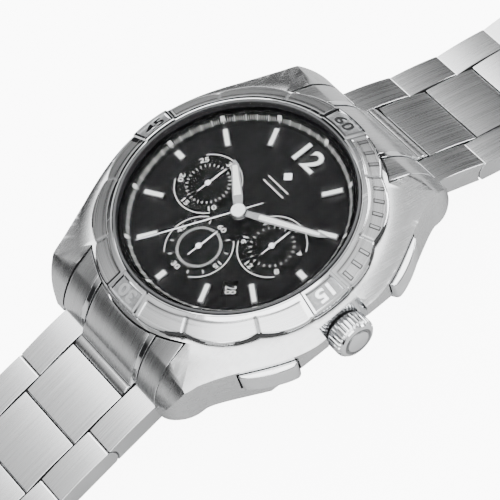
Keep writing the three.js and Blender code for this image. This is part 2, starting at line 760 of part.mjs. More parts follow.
function crown() {
  const outline = Array.from({ length: 2 * CROWN_FLUTES }, (_, i) => {
    const angle = (Math.PI * i) / CROWN_FLUTES;
    const radius = CROWN_R - (i % 2) * FLUTE_DEPTH;
    return [radius * Math.cos(angle), CROWN_Z + radius * Math.sin(angle)];
  });
  const face = CROWN_TO_X - CROWN_FACE;
  const cap = joined(
    acrossX(outline, CROWN_FROM_X, face),
    rodX(CROWN_R - 0.6, face - CROWN_FACE, CROWN_TO_X, 0, CROWN_Z, 24),
  );
  const socket = CROWN_FROM_X + STEM_INTO_CROWN + FIT_GAP;
  return cut(cap, rodX(STEM_R + BORE_GAP, 0, socket, 0, CROWN_Z));
}

function crownTube() {
  const inner = STEM_R + BORE_GAP;
  const from = CAVITY_R + 0.3;
  const to = CROWN_FROM_X - RUN_GAP;
  return cut(
    rodX(inner + TUBE_WALL, from, to, 0, CROWN_Z),
    rodX(inner, 0, CLEAR, 0, CROWN_Z),
  );
}

function pusher(side) {
  const inner = PUSHER_FACE_R - PUSHER_DEPTH;
  const half = PUSHER_HALF_LENGTH;
  const outline = [
    [inner, -half],
    [PUSHER_FACE_R - 0.9, -half],
    ...bezier(
      [PUSHER_FACE_R - 0.5, -half + 0.4],
      [PUSHER_FACE_R + 0.15, -half / 2],
      [PUSHER_FACE_R + 0.15, half / 2],
      [PUSHER_FACE_R - 0.5, half - 0.4],
      6,
    ),
    [PUSHER_FACE_R - 0.9, half],
    [inner, half],
  ];
  const cap = raised(outline, PUSHER_Z - PUSHER_HEIGHT / 2, PUSHER_Z + PUSHER_HEIGHT / 2);
  const plunger = rodX(PLUNGER_R, PLUNGER_END_R, inner + 0.5, 0, PUSHER_Z);
  return atPusher(joined(cap, plunger), side);
}

// Shown at its pressed length, so that the pusher's whole travel stays clear of it.
function pusherSpring(side) {
  const bottom = PUSHER_FACE_R - PUSHER_DEPTH - PUSHER_TRAVEL - RUN_GAP;
  const from = bottom - SPRING_LENGTH;
  class Helix extends THREE.Curve {
    getPoint(t, target = new THREE.Vector3()) {
      const angle = 2 * Math.PI * SPRING_TURNS * t;
      const along = from + (SPRING_LENGTH - 2 * SPRING_WIRE) * t;
      return target.set(
        along,
        SPRING_R * Math.cos(angle),
        PUSHER_Z + SPRING_R * Math.sin(angle),
      );
    }
  }
  const section = new THREE.Shape(
    arc(0, 0, SPRING_WIRE, 0, 270, 3).map(([x, y]) => new THREE.Vector2(x, y)),
  );
  const geometry = new THREE.ExtrudeGeometry(section, {
    steps: Math.round(SPRING_TURNS * 10),
    extrudePath: new Helix(),
  });
  return atPusher(solidOf(geometry), side);
}

// ---------------------------------------------------------------- Bracelet

const HALF_THICK = LINK_THICK / 2;
const angleAt = (radius) => THREE.MathUtils.radToDeg(Math.asin(HALF_THICK / radius));

// The top of a link between two places along it, rising in the middle.
function linkTop(from, to) {
  return Array.from({ length: LINK_STEPS - 1 }, (_, i) => {
    const t = (i + 1) / LINK_STEPS;
    return [from + (to - from) * t, HALF_THICK + LINK_CROWN * 4 * t * (1 - t)];
  });
}

// Outer link seen from the side: round about its own pin, hollowed round the next one.
function outerLinkOutline() {
  const near = angleAt(KNUCKLE_R);
  const far = angleAt(KNUCKLE_R + RUN_GAP);
  const start = arc(0, 0, KNUCKLE_R, 180 + near, 180 - near, KNUCKLE_STEPS);
  const end = arc(LINK_PITCH, 0, KNUCKLE_R + RUN_GAP, 180 - far, 180 + far, KNUCKLE_STEPS);
  return [...start, ...linkTop(start.at(-1)[0], end[0][0]), ...end];
}

// Centre link: hollowed round its own pin, round about the next one.
function centreLinkOutline() {
  const near = angleAt(KNUCKLE_R + RUN_GAP);
  const far = angleAt(KNUCKLE_R);
  const start = arc(0, 0, KNUCKLE_R + RUN_GAP, -near, near, KNUCKLE_STEPS);
  const end = arc(LINK_PITCH, 0, KNUCKLE_R, far, -far, KNUCKLE_STEPS);
  return [...start, ...linkTop(start.at(-1)[0], end[0][0]), ...end];
}

const linkPin = (at, half) => rodX(PIN_R, -half, half, at, 0, PIN_SIDES);
const pinBore = (at, z = 0) => rodX(PIN_R + BORE_GAP, -CLEAR, CLEAR, at, z, PIN_SIDES);

// Both outer links with the hinge pin and the fixing pin that tie them together.
function outerLinks() {
  const inner = CENTRE_HALF + FIT_GAP;
  const outline = outerLinkOutline();
  const pins = [0, FIXING_PIN_AT].map((at) => linkPin(at, inner + 0.5));
  return joined(
    acrossX(outline, inner, BRACELET_HALF),
    acrossX(outline, -BRACELET_HALF, -inner),
    ...pins,
  );
}

const centreLink = () =>
  cut(
    acrossX(centreLinkOutline(), -CENTRE_HALF, CENTRE_HALF),
    pinBore(FIXING_PIN_AT),
    pinBore(LINK_PITCH),
  );

// Fills the space between the lugs, with a tongue in the middle that carries the first row.
function endLink() {
  const [pinY, pinZ] = FIRST_PIN;
  const start = BODY_WALL_R - 6;
  const flush = lugTop(LUG_STEPS).map(([y, z]) => [y, z - 0.1]);
  const body = acrossX(
    [
      [start, CASE_TOP_Z - 0.1],
      ...flush,
      [pinY - 0.6, pinZ + 1],
      [pinY - 2.2, END_LINK_LOW_Z],
      [pinY - 3.6, END_LINK_LOW_Z],
      [BODY_WALL_R, CASE_UNDER_Z - FIT_GAP],
      [start, CASE_UNDER_Z - FIT_GAP],
    ],
    -BRACELET_HALF,
    BRACELET_HALF,
  );
  const tongue = acrossX(
    [
      [pinY - 4.5, pinZ + 4],
      [pinY - 1.2, LUG_DROP_Z + 1.6],
      [pinY - 0.4, LUG_DROP_Z + 0.4],
      ...arc(pinY, pinZ, KNUCKLE_R, 80, -100, 8),
      [pinY - 3.6, END_LINK_LOW_Z],
    ],
    -CENTRE_HALF,
    CENTRE_HALF,
  );
  const room = rodX(KNUCKLE_R + RUN_GAP, CENTRE_HALF, CLEAR, pinY, pinZ, 24);
  const otherRoom = rodX(KNUCKLE_R + RUN_GAP, -CLEAR, -CENTRE_HALF, pinY, pinZ, 24);
  return cut(
    joined(cut(body, room, otherRoom), tongue),
    rodZ(BODY_WALL_R + FIT_GAP, -20, 30, 0, 0, ROUND_SIDES),
    pinBore(pinY, pinZ),
    rodX(SPRING_BAR_R + BORE_GAP, -CLEAR, CLEAR, ...SPRING_BAR_AT),
  );
}

// A sprung rod with a shoulder near each tip.
function springBar() {
  const [y, z] = SPRING_BAR_AT;
  const shoulder = LUG_GAP_HALF - SHOULDER_INSET;
  return joined(
    rodX(SPRING_BAR_R, -shoulder, shoulder, y, z),
    rodX(SPRING_BAR_R * 0.65, -SPRING_BAR_HALF, SPRING_BAR_HALF, y, z),
  );
}

// ---------------------------------------------------------------- Clasp

function claspCover() {
  const inner = CENTRE_HALF + FIT_GAP;
  const near = angleAt(KNUCKLE_R);
  const knuckleClear = KNUCKLE_R + RUN_GAP + 0.3;
  const earOutline = [
    ...arc(0, 0, KNUCKLE_R, 180 + near, 180 - near, KNUCKLE_STEPS),
    [knuckleClear + 1, COVER_TOP],
    [knuckleClear + 1, -HALF_THICK],
  ];
  const plateLow = COVER_TOP - COVER_THICK;
  const plate = acrossX(
    [
      [knuckleClear, plateLow],
      [CLASP_LENGTH, plateLow],
      [CLASP_LENGTH, COVER_TOP - 0.2],
      [CLASP_LENGTH - 1.5, COVER_TOP],
      [knuckleClear, COVER_TOP],
    ],
    -BRACELET_HALF,
    BRACELET_HALF,
  );
  const wallInner = BRACELET_HALF - COVER_WALL;
  const wall = (x0, x1) =>
    block(x0, x1, knuckleClear, CLASP_LENGTH - 0.4, COVER_WALL_LOW, COVER_TOP - 0.1);
  const body = joined(
    acrossX(earOutline, inner, BRACELET_HALF),
    acrossX(earOutline, -BRACELET_HALF, -inner),
    linkPin(0, inner + 0.5),
    plate,
    wall(wallInner, BRACELET_HALF),
    wall(-BRACELET_HALF, -wallInner),
  );
  const halfWindow = BUTTON_HALF + RUN_GAP;
  const halfOpen = BUTTON_HEIGHT / 2 + RUN_GAP;
  const window = block(-CLEAR, CLEAR, BUTTON_AT - halfWindow, BUTTON_AT + halfWindow, -halfOpen, halfOpen);
  const pivot = rodX(BLADE_PIN_R + BORE_GAP, -CLEAR, CLEAR, BLADE_FAR, OUTER_BLADE_MID, PIN_SIDES);
  return cut(body, window, pivot);
}

// Hinged at the cover's far end and folded back under it.
function claspOuterBlade() {
  const half = BLADE_THICK / 2;
  const earInner = INNER_BLADE_HALF + RUN_GAP;
  const plate = block(
    -BLADE_HALF,
    BLADE_HALF,
    BLADE_NEAR + BLADE_KNUCKLE_R + RUN_GAP,
    BLADE_FAR,
    OUTER_BLADE_MID - half,
    OUTER_BLADE_MID + half,
  );
  const ears = [earInner, -BLADE_HALF].map((x) =>
    joined(
      rodX(BLADE_KNUCKLE_R, x, x + BLADE_HALF - earInner, BLADE_NEAR, INNER_BLADE_MID, SMALL_SIDES),
      block(
        x,
        x + BLADE_HALF - earInner,
        BLADE_NEAR - 0.4,
        BLADE_NEAR + 1.6,
        INNER_BLADE_MID,
        OUTER_BLADE_MID + half,
      ),
    ),
  );
  const pinHalf = BRACELET_HALF - 0.4;
  return cut(
    joined(
      plate,
      ...ears,
      rodX(BLADE_KNUCKLE_R, -BLADE_HALF, BLADE_HALF, BLADE_FAR, OUTER_BLADE_MID, SMALL_SIDES),
      rodX(BLADE_PIN_R, -pinHalf, pinHalf, BLADE_FAR, OUTER_BLADE_MID, PIN_SIDES),
    ),
    rodX(BLADE_PIN_R + BORE_GAP, -CLEAR, CLEAR, BLADE_NEAR, INNER_BLADE_MID, PIN_SIDES),
  );
}

// Hinged to the outer blade's near end and folded under it; its free end takes the other arm.
function claspInnerBlade() {
  const half = BLADE_THICK / 2;
  const end = BLADE_FAR - 2.2;
  const plate = block(
    -INNER_BLADE_HALF,
    INNER_BLADE_HALF,
    BLADE_NEAR,
    end,
    INNER_BLADE_MID - half,
    INNER_BLADE_MID + half,
  );
  const pinHalf = BLADE_HALF - 0.3;
  return cut(
    joined(
      plate,
      rodX(BLADE_KNUCKLE_R - 0.1, -INNER_BLADE_HALF, INNER_BLADE_HALF, BLADE_NEAR, INNER_BLADE_MID),
      rodX(BLADE_KNUCKLE_R - 0.1, -INNER_BLADE_HALF, INNER_BLADE_HALF, end, INNER_BLADE_MID),
      rodX(BLADE_PIN_R, -pinHalf, pinHalf, BLADE_NEAR, INNER_BLADE_MID, PIN_SIDES),
    ),
    rodX(BLADE_PIN_R, -CLEAR, CLEAR, end, INNER_BLADE_MID, PIN_SIDES),
  );
}

function claspButton(side) {
  const outer = side * (BRACELET_HALF + BUTTON_PROUD);
  const inner = outer - side * BUTTON_DEPTH;
  const half = BUTTON_HEIGHT / 2;
  return block(
    Math.min(inner, outer),
    Math.max(inner, outer),
    BUTTON_AT - BUTTON_HALF,
    BUTTON_AT + BUTTON_HALF,
    -half,
    half,
  );
}

// ---------------------------------------------------------------- Assembly

function headMeshes() {
  const place = (name) => clockPlace(SUBDIAL_OFFSET, SUBDIAL_ANGLES[name]);
  return [
    piece("case_middle", caseMiddle(), BRUSHED_STEEL),
    piece("case_back", caseBack(), BRUSHED_STEEL),
    piece("case_back_gasket", caseBackGasket(), BLACK_RUBBER),
    piece("bezel", bezel(), BRUSHED_STEEL),
    piece("bezel_click_spring", bezelClickSpring(), DARK_STEEL),
    piece("crystal", crystal(), GLASS),
    piece("crystal_gasket", crystalGasket(), GREY_POLYMER),
    piece("rehaut_ring", rehautRing(), BLACK_DIAL),
    piece("dial", dial(), BLACK_DIAL),
    piece("date_ring", dateRing(), BLACK_DIAL),
    handMesh("hour_hand", HOUR_HAND, HOUR_HAND_ANGLE),
    handMesh("minute_hand", MINUTE_HAND, MINUTE_HAND_ANGLE),
    handMesh("chronograph_seconds_hand", SWEEP_HAND, SWEEP_HAND_ANGLE),
    handMesh("minute_counter_hand", SMALL_HAND, 0, place("minuteCounter")),
    handMesh("small_seconds_hand", SMALL_HAND, 0, place("smallSeconds")),
    handMesh("day_hours_hand", SMALL_HAND, 0, place("dayHours")),
    piece("movement_holder", movementHolder(), WHITE_POLYMER),
    piece("movement_plate", movementPlate(), BRASS),
    piece("train_bridge", trainBridge(), BRASS),
    piece("motor_coil", motorCoil(), COPPER),
    piece("battery", battery(), POLISHED_STEEL),
    piece("setting_lever", settingLever(), DARK_STEEL),
    piece("winding_stem", windingStem(), DARK_STEEL),
    piece("crown_tube", crownTube(), DARK_STEEL),
    piece("crown", crown(), POLISHED_STEEL),
    piece("start_pusher", pusher(1), POLISHED_STEEL),
    piece("start_pusher_spring", pusherSpring(1), DARK_STEEL),
    piece("reset_pusher", pusher(-1), POLISHED_STEEL),
    piece("reset_pusher_spring", pusherSpring(-1), DARK_STEEL),
  ];
}

// Places of the hinge pins along one arm, in the arm's own plane.
function pinPlaces(slopes) {
  const places = [FIRST_PIN];
  for (const slope of slopes) {
    const [y, z] = places.at(-1);
    const angle = THREE.MathUtils.degToRad(slope);
    places.push([y + LINK_PITCH * Math.cos(angle), z - LINK_PITCH * Math.sin(angle)]);
  }
  return places;
}

// A group at a pin of the arm, sloping down by the given angle.
function rowGroup([y, z], slope, ...meshes) {
  const group = new THREE.Group();
  group.position.set(0, y, z);
  group.rotation.x = THREE.MathUtils.degToRad(-slope);
  group.add(...meshes);
  return group;
}

// One arm of the bracelet, drawn towards +Y.
function arm(label, slopes) {
  const group = new THREE.Group();
  const pins = pinPlaces(slopes);
  group.add(
    piece("end_link_" + label, endLink(), BRUSHED_STEEL),
    piece("spring_bar_" + label, springBar(), DARK_STEEL),
  );
  slopes.forEach((slope, i) => {
    const row = label + "_" + (i + 1);
    group.add(
      rowGroup(
        pins[i],
        slope,
        piece("link_outer_" + row, outerLinks(), BRUSHED_STEEL),
        piece("link_centre_" + row, centreLink(), BRUSHED_STEEL),
      ),
    );
  });
  return group;
}

function clasp() {
  return rowGroup(
    pinPlaces(ARM_6_SLOPES).at(-1),
    CLASP_SLOPE,
    piece("clasp_cover", claspCover(), BRUSHED_STEEL),
    piece("clasp_blade_outer", claspOuterBlade(), POLISHED_STEEL),
    piece("clasp_blade_inner", claspInnerBlade(), POLISHED_STEEL),
    piece("clasp_button_left", claspButton(1), POLISHED_STEEL),
    piece("clasp_button_right", claspButton(-1), POLISHED_STEEL),
  );
}

const watch = new THREE.Group();
watch.add(...headMeshes());
watch.add(arm("12", ARM_12_SLOPES));

const lowerArm = arm("6", ARM_6_SLOPES);
lowerArm.add(clasp());
lowerArm.rotation.z = Math.PI;
watch.add(lowerArm);

export default watch;
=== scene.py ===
"""A steel chronograph wristwatch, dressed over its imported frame: satin and polished steel, a black
twill dial with applied markers, a turning bezel and a three-link bracelet with a folding clasp."""

import json
import math

import bmesh
import bpy
from mathutils import Matrix, Vector


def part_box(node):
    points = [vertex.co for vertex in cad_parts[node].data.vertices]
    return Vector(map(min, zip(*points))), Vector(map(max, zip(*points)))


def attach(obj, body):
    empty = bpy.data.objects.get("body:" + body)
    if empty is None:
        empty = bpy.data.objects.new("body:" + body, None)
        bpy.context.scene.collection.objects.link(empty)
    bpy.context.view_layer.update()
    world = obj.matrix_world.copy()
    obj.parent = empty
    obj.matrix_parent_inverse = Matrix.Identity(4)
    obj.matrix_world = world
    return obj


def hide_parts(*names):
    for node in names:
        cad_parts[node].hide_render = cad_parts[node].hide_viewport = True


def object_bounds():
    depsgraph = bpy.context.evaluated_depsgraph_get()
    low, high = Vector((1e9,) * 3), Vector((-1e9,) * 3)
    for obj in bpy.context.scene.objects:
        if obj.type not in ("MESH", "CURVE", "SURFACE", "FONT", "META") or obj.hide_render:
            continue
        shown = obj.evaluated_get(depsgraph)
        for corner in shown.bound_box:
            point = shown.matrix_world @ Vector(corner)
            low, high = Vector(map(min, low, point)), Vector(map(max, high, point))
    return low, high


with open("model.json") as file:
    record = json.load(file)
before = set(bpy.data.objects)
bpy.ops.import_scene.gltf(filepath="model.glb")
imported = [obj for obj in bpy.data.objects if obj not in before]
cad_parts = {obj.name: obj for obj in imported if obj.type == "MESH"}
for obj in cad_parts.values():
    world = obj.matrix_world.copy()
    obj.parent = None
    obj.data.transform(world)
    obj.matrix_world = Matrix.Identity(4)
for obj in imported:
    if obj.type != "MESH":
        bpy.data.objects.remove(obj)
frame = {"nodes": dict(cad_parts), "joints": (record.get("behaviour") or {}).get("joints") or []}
CAD_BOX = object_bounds()

MM = 0.001
JOINTS = {joint["name"]: joint for joint in frame["joints"]}

# ------------------------------------------------------------------ Sizes, in millimetres


def top_of(node):
    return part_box(node)[1].z / MM


def reach_of(node):
    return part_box(node)[1].x / MM


DIAL_Z = top_of("dial")
DIAL_R = reach_of("dial")
CRYSTAL_Z = top_of("crystal")
CRYSTAL_R = reach_of("crystal")
GASKET_R = reach_of("crystal_gasket")
BEZEL_Z = top_of("bezel")
BEZEL_SEAT_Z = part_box("bezel")[0].z / MM
BEZEL_IN_R = GASKET_R + 0.15
BEZEL_OUT_R = 21.0
BEZEL_NOTCH = 0.75
BEZEL_FALL = 1.6
CASE_TOP_Z = 9.6
CASE_UNDER_Z = 1.4
BODY_R = 21.0
CAVITY_R = 16.4
LUG_END_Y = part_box("case_middle")[1].y / MM
LUG_LOW_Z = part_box("case_middle")[0].z / MM
LUG_DROP_Z = 1.9
LUG_GAP = 11.0
LUG_SIDE = 16.1
SUBDIAL_AT = 7.29
FLANGE_IN_R = 15.2
FLANGE_TOP_Z = 11.0
DATE_R = 11.7
DATE_AT = 135
DATE_SHOWN = 28
HALF_WIDTH = 10.8
CENTRE_HALF = 5.85
PITCH = 9.4
HALF_THICK = 1.6
KNUCKLE_R = 2.0
KNUCKLE_GAP = 0.2
LINK_CROWN = 0.2
FIXING_PIN = 5.6
SLOPES = {"12": (27, 20, 12, 5, 0), "6": (13, 14, 13, 10, 5)}
CLASP_SLOPE = 3
CLASP_LENGTH = 24
RELEASE_AT = 13.5
CROWN_Z = 5.4
CROWN_R = 3.1
CROWN_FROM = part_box("crown")[0].x / MM
CROWN_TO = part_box("crown")[1].x / MM
PUSHER_Z = 5.8
PUSHER_HALF_HEIGHT = 1.7
PUSHER_HALF = 4.1
PUSHER_FACE = 25.0
PUSHER_DEPTH = 2.7
PUSHER_ANGLE = 30
PLUNGER_R = 0.7
PLUNGER_FROM = 17.3
BAR_HOLE_R = 0.95
BAR_HOLE_END = 12.6
CROWN_SEAT_X = 21.7
BEYOND = 40

# ------------------------------------------------------------------ Shader groups


def group_with(name, inputs, outputs):
    """A shader node group with named sockets and its two end nodes."""
    group = bpy.data.node_groups.new(name, "ShaderNodeTree")
    for label, kind, value in inputs:
        socket = group.interface.new_socket(label, in_out="INPUT", socket_type=kind)
        if value is not None:
            socket.default_value = value
    for label, kind in outputs:
        group.interface.new_socket(label, in_out="OUTPUT", socket_type=kind)
    start = group.nodes.new("NodeGroupInput")
    end = group.nodes.new("NodeGroupOutput")
    return group, start, end


FLOAT, VECTOR = "NodeSocketFloat", "NodeSocketVector"


class Wiring:
    """Short ways to place and join nodes in one tree."""

    def __init__(self, tree):
        self.tree = tree

    def put(self, kind, *sources, **settings):
        node = self.tree.nodes.new(kind)
        for key, value in settings.items():
            setattr(node, key, value)
        for i, source in enumerate(sources):
            self.feed(node.inputs[i], source)
        return node

    def feed(self, socket, source):
        if source is None:
            return
        if isinstance(source, bpy.types.Node):
            source = source.outputs[0]
        if isinstance(source, bpy.types.NodeSocket):
            self.tree.links.new(source, socket)
        else:
            socket.default_value = source

    def fill(self, node, values):
        for label, value in values.items():
            self.feed(node.inputs[label], value)
        return node

    def sum(self, operation, *sources):
        return self.put("ShaderNodeMath", *sources, operation=operation)

    def times(self, *sources):
        return self.sum("MULTIPLY", *sources)

    def stretch(self, source, low, high, to_low=0.0, to_high=1.0):
        limits = {"From Min": low, "From Max": high, "To Min": to_low, "To Max": to_high}
        return self.fill(self.put("ShaderNodeMapRange", source), limits)

    def noise(self, vector, scale, detail=3.0, rough=0.6):
        node = self.put("ShaderNodeTexNoise", noise_dimensions="3D")
        values = {"Vector": vector, "Scale": scale, "Detail": detail, "Roughness": rough}
        return self.fill(node, values).outputs[0]


def satin_grain():
    """Fine drawn lines: a tone and a height that run along the direction left unstretched."""
    group, start, end = group_with(
        "satin_grain",
        [("Vector", VECTOR, None), ("Lines", VECTOR, (3000.0, 60.0, 3000.0))],
        [("Tone", FLOAT), ("Height", FLOAT)],
    )
    w = Wiring(group)
    turned_in = w.put("ShaderNodeVectorMath", start.outputs[0], start.outputs[1])
    turned_in.operation = "MULTIPLY"
    fine = w.noise(turned_in, 1.0, 1.0, 0.5)
    finer = w.noise(turned_in, 3.1, 1.0, 0.5)
    both = w.sum("ADD", w.times(fine, 0.5), w.times(finer, 0.5))
    w.feed(end.inputs[0], w.stretch(both, 0.3, 0.7))
    w.feed(end.inputs[1], both)
    return group


def turned_grain():
    """Grain round an axis: concentric lines when Rays is 0, a sunray pattern when it is 1."""
    group, start, end = group_with(
        "turned_grain",
        [("Vector", VECTOR, None), ("Lines", FLOAT, 4000.0), ("Rays", FLOAT, 0.0)],
        [("Tone", FLOAT), ("Height", FLOAT)],
    )
    w = Wiring(group)
    apart = w.put("ShaderNodeSeparateXYZ", start.outputs[0])
    radius = w.sum(
        "SQRT",
        w.sum(
            "ADD",
            w.times(apart.outputs[0], apart.outputs[0]),
            w.times(apart.outputs[1], apart.outputs[1]),
        ),
    )
    angle = w.sum("ARCTAN2", apart.outputs[1], apart.outputs[0])
    along = w.times(radius, start.outputs[1])
    across = w.times(angle, 90.0)
    keep = w.sum("SUBTRACT", 1.0, start.outputs[2])
    mixed = w.sum("ADD", w.times(along, keep), w.times(across, start.outputs[2]))
    place = w.put("ShaderNodeCombineXYZ", mixed, w.times(apart.outputs[2], 300.0))
    fine = w.noise(place, 1.0, 3.0, 0.65)
    w.feed(end.inputs[0], w.stretch(fine, 0.3, 0.7))
    w.feed(end.inputs[1], fine)
    return group


def edge_wear():
    """A mask that is 1 on corners that hands and cuffs have rubbed bright."""
    group, start, end = group_with(
        "edge_wear",
        [("Vector", VECTOR, None), ("From", FLOAT, 0.53), ("To", FLOAT, 0.62)],
        [("Mask", FLOAT)],
    )
    w = Wiring(group)
    geometry = w.put("ShaderNodeNewGeometry")
    patches = w.noise(start.outputs[0], 900.0, 3.0)
    edge = w.stretch(geometry.outputs["Pointiness"], 0.5, 0.6)
    w.feed(edge.inputs["From Min"], start.outputs[1])
    w.feed(edge.inputs["From Max"], start.outputs[2])
    w.feed(end.inputs[0], w.times(edge, w.stretch(patches, 0.35, 0.6)))
    return group


def hair_scratches():
    """Sparse fine scratches in two directions, as a mask."""
    group, start, end = group_with(
        "hair_scratches", [("Vector", VECTOR, None), ("Amount", FLOAT, 0.5)], [("Mask", FLOAT)]
    )
    w = Wiring(group)
    found = None
    for turn, lines in ((0.6, (5200.0, 90.0, 90.0)), (-1.1, (4300.0, 70.0, 120.0))):
        placed = w.put("ShaderNodeMapping", start.outputs[0])
        w.fill(placed, {"Rotation": (0.2, 0.1, turn), "Scale": lines})
        one = w.stretch(w.noise(placed, 1.0, 1.0, 0.3), 0.70, 0.78)
        found = one if found is None else w.sum("MAXIMUM", found, one)
    w.feed(end.inputs[0], w.times(found, start.outputs[1]))
    return group


def twill_weave():
    """Diagonal twill: short bright floats that step across a dark ground."""
    group, start, end = group_with(
        "twill_weave",
        [("Vector", VECTOR, None), ("Thread", FLOAT, 0.00055)],
        [("Float", FLOAT), ("Height", FLOAT)],
    )
    w = Wiring(group)
    scaled = w.put("ShaderNodeVectorMath", start.outputs[0], operation="DIVIDE")
    w.feed(scaled.inputs[1], start.outputs[1])
    apart = w.put("ShaderNodeSeparateXYZ", scaled)
    column = w.sum("FLOOR", apart.outputs[0])
    row = w.sum("FLOOR", apart.outputs[1])
    step = w.sum("FLOORED_MODULO", w.sum("ADD", column, row), 4.0)
    over = w.sum("LESS_THAN", step, 1.5)
    across_x = w.sum("PINGPONG", w.sum("FRACT", apart.outputs[0]), 0.5)
    across_y = w.sum("PINGPONG", w.sum("FRACT", apart.outputs[1]), 0.5)
    warp = w.times(w.times(across_x, 2.0), over)
    weft = w.times(w.times(across_y, 2.0), w.sum("SUBTRACT", 1.0, over))
    w.feed(end.inputs[0], over)
    w.feed(end.inputs[1], w.sum("ADD", warp, weft))
    return group


GRAIN = satin_grain()
TURNED = turned_grain()
WEAR = edge_wear()
SCRATCHES = hair_scratches()
TWILL = twill_weave()

# ------------------------------------------------------------------ Materials


def started(name):
    """A new material with its wiring, shader and object coordinates."""
    material = bpy.data.materials.new(name)
    material.use_nodes = True
    tree = material.node_tree
    tree.nodes.clear()
    w = Wiring(tree)
    out = w.put("ShaderNodeOutputMaterial")
    shader = w.put("ShaderNodeBsdfPrincipled")
    tree.links.new(shader.outputs[0], out.inputs[0])
    coordinates = w.put("ShaderNodeTexCoord").outputs["Object"]
    return material, w, shader, coordinates


def used(w, group, **values):
    return w.fill(w.put("ShaderNodeGroup", node_tree=group), values)


def blended(w, mask, low, high):
    node = w.put("ShaderNodeMix", data_type="RGBA")
    return w.fill(node, {"Factor": mask, "A": (*low, 1.0), "B": (*high, 1.0)}).outputs["Result"]


def bumped(w, shader, height, strength, distance):
    values = {"Strength": strength, "Distance": distance, "Height": height}
    w.feed(shader.inputs["Normal"], w.fill(w.put("ShaderNodeBump"), values))


STEEL_LOW, STEEL_HIGH = (0.50, 0.505, 0.51), (0.66, 0.665, 0.67)


def satin_steel(name, lines, low=STEEL_LOW, high=STEEL_HIGH, rough=(0.24, 0.32)):
    """Steel brushed in one direction, with rubbed corners and a few scratches."""
    material, w, shader, place = started(name)
    grain = used(w, GRAIN, Vector=place, Lines=lines)
    wear = used(w, WEAR, Vector=place)
    marks = used(w, SCRATCHES, Vector=place, Amount=0.08)
    tone = w.sum("MAXIMUM", grain.outputs[0], w.times(wear.outputs[0], 0.7))
    w.feed(shader.inputs["Base Color"], blended(w, tone, low, high))
    rubbed = w.sum("SUBTRACT", grain.outputs[0], w.times(wear.outputs[0], 0.6))
    w.feed(shader.inputs["Roughness"], w.stretch(rubbed, 0.0, 1.0, *rough))
    shader.inputs["Metallic"].default_value = 1.0
    height = w.sum("SUBTRACT", grain.outputs[1], marks.outputs[0])
    bumped(w, shader, height, 0.05, 0.00001)
    return material


def turned_steel(name, lines=4000.0, rays=0.0, low=STEEL_LOW, high=STEEL_HIGH):
    """Steel grained round its own axis."""
    material, w, shader, place = started(name)
    grain = used(w, TURNED, Vector=place, Lines=lines, Rays=rays)
    wear = used(w, WEAR, Vector=place)
    tone = w.sum("MAXIMUM", grain.outputs[0], wear.outputs[0])
    w.feed(shader.inputs["Base Color"], blended(w, tone, low, high))
    w.feed(shader.inputs["Roughness"], w.stretch(grain.outputs[0], 0.0, 1.0, 0.22, 0.34))
    shader.inputs["Metallic"].default_value = 1.0
    bumped(w, shader, grain.outputs[1], 0.05, 0.00001)
    return material


def mirror_steel(name, tint=(0.78, 0.79, 0.80), rough=0.06):
    """Polished steel with faint wipe marks."""
    material, w, shader, place = started(name)
    marks = used(w, SCRATCHES, Vector=place, Amount=0.5)
    haze = w.noise(place, 260.0, 4.0)
    darker = tuple(0.88 * part for part in tint)
    w.feed(shader.inputs["Base Color"], blended(w, w.stretch(haze, 0.35, 0.7), tint, darker))
    rough_now = w.sum("ADD", w.stretch(haze, 0.3, 0.7, rough, rough + 0.06), marks.outputs[0])
    w.feed(shader.inputs["Roughness"], w.sum("MINIMUM", rough_now, 0.3))
    shader.inputs["Metallic"].default_value = 1.0
    bumped(w, shader, marks.outputs[0], 0.15, 0.00001)
    return material


def moulded(name, tint, rough=0.5, scale=4000.0, strength=0.25, gloss=0.5, spread=0.004):
    """A non-metal with a fine moulded or painted skin."""
    material, w, shader, place = started(name)
    shader.inputs["Specular IOR Level"].default_value = gloss
    skin = w.noise(place, scale, 4.0)
    lighter = tuple(min(1.0, 1.12 * part + spread) for part in tint)
    w.feed(shader.inputs["Base Color"], blended(w, skin, tint, lighter))
    w.feed(shader.inputs["Roughness"], w.stretch(skin, 0.3, 0.7, rough - 0.06, rough + 0.08))
    bumped(w, shader, skin, strength, 0.00002)
    return material


def twill_lacquer():
    """The dial's ground: black twill under clear lacquer."""
    material, w, shader, place = started("black_twill")
    turned_place = w.put("ShaderNodeMapping", place)
    w.feed(turned_place.inputs["Rotation"], (0.0, 0.0, math.radians(45)))
    weave = used(w, TWILL, Vector=turned_place, Thread=0.0005)
    tone = w.times(weave.outputs[0], w.stretch(weave.outputs[1], 0.0, 1.0, 0.4, 1.0))
    ground, floats = (0.0006, 0.0006, 0.0007), (0.007, 0.0072, 0.0078)
    w.feed(shader.inputs["Base Color"], blended(w, tone, ground, floats))
    w.feed(shader.inputs["Roughness"], w.stretch(weave.outputs[0], 0.0, 1.0, 0.42, 0.28))
    shader.inputs["Specular IOR Level"].default_value = 0.02
    bumped(w, shader, weave.outputs[1], 0.1, 0.00001)
    return material


def clear_crystal():
    material, w, shader, place = started("clear_crystal")
    haze = w.noise(place, 120.0, 2.0)
    w.feed(shader.inputs["Base Color"], blended(w, haze, (0.96, 0.98, 0.99), (1.0, 1.0, 1.0)))
    w.feed(shader.inputs["Roughness"], w.stretch(haze, 0.3, 0.7, 0.01, 0.03))
    shader.inputs["Transmission Weight"].default_value = 1.0
    shader.inputs["Alpha"].default_value = 0.02
    return material


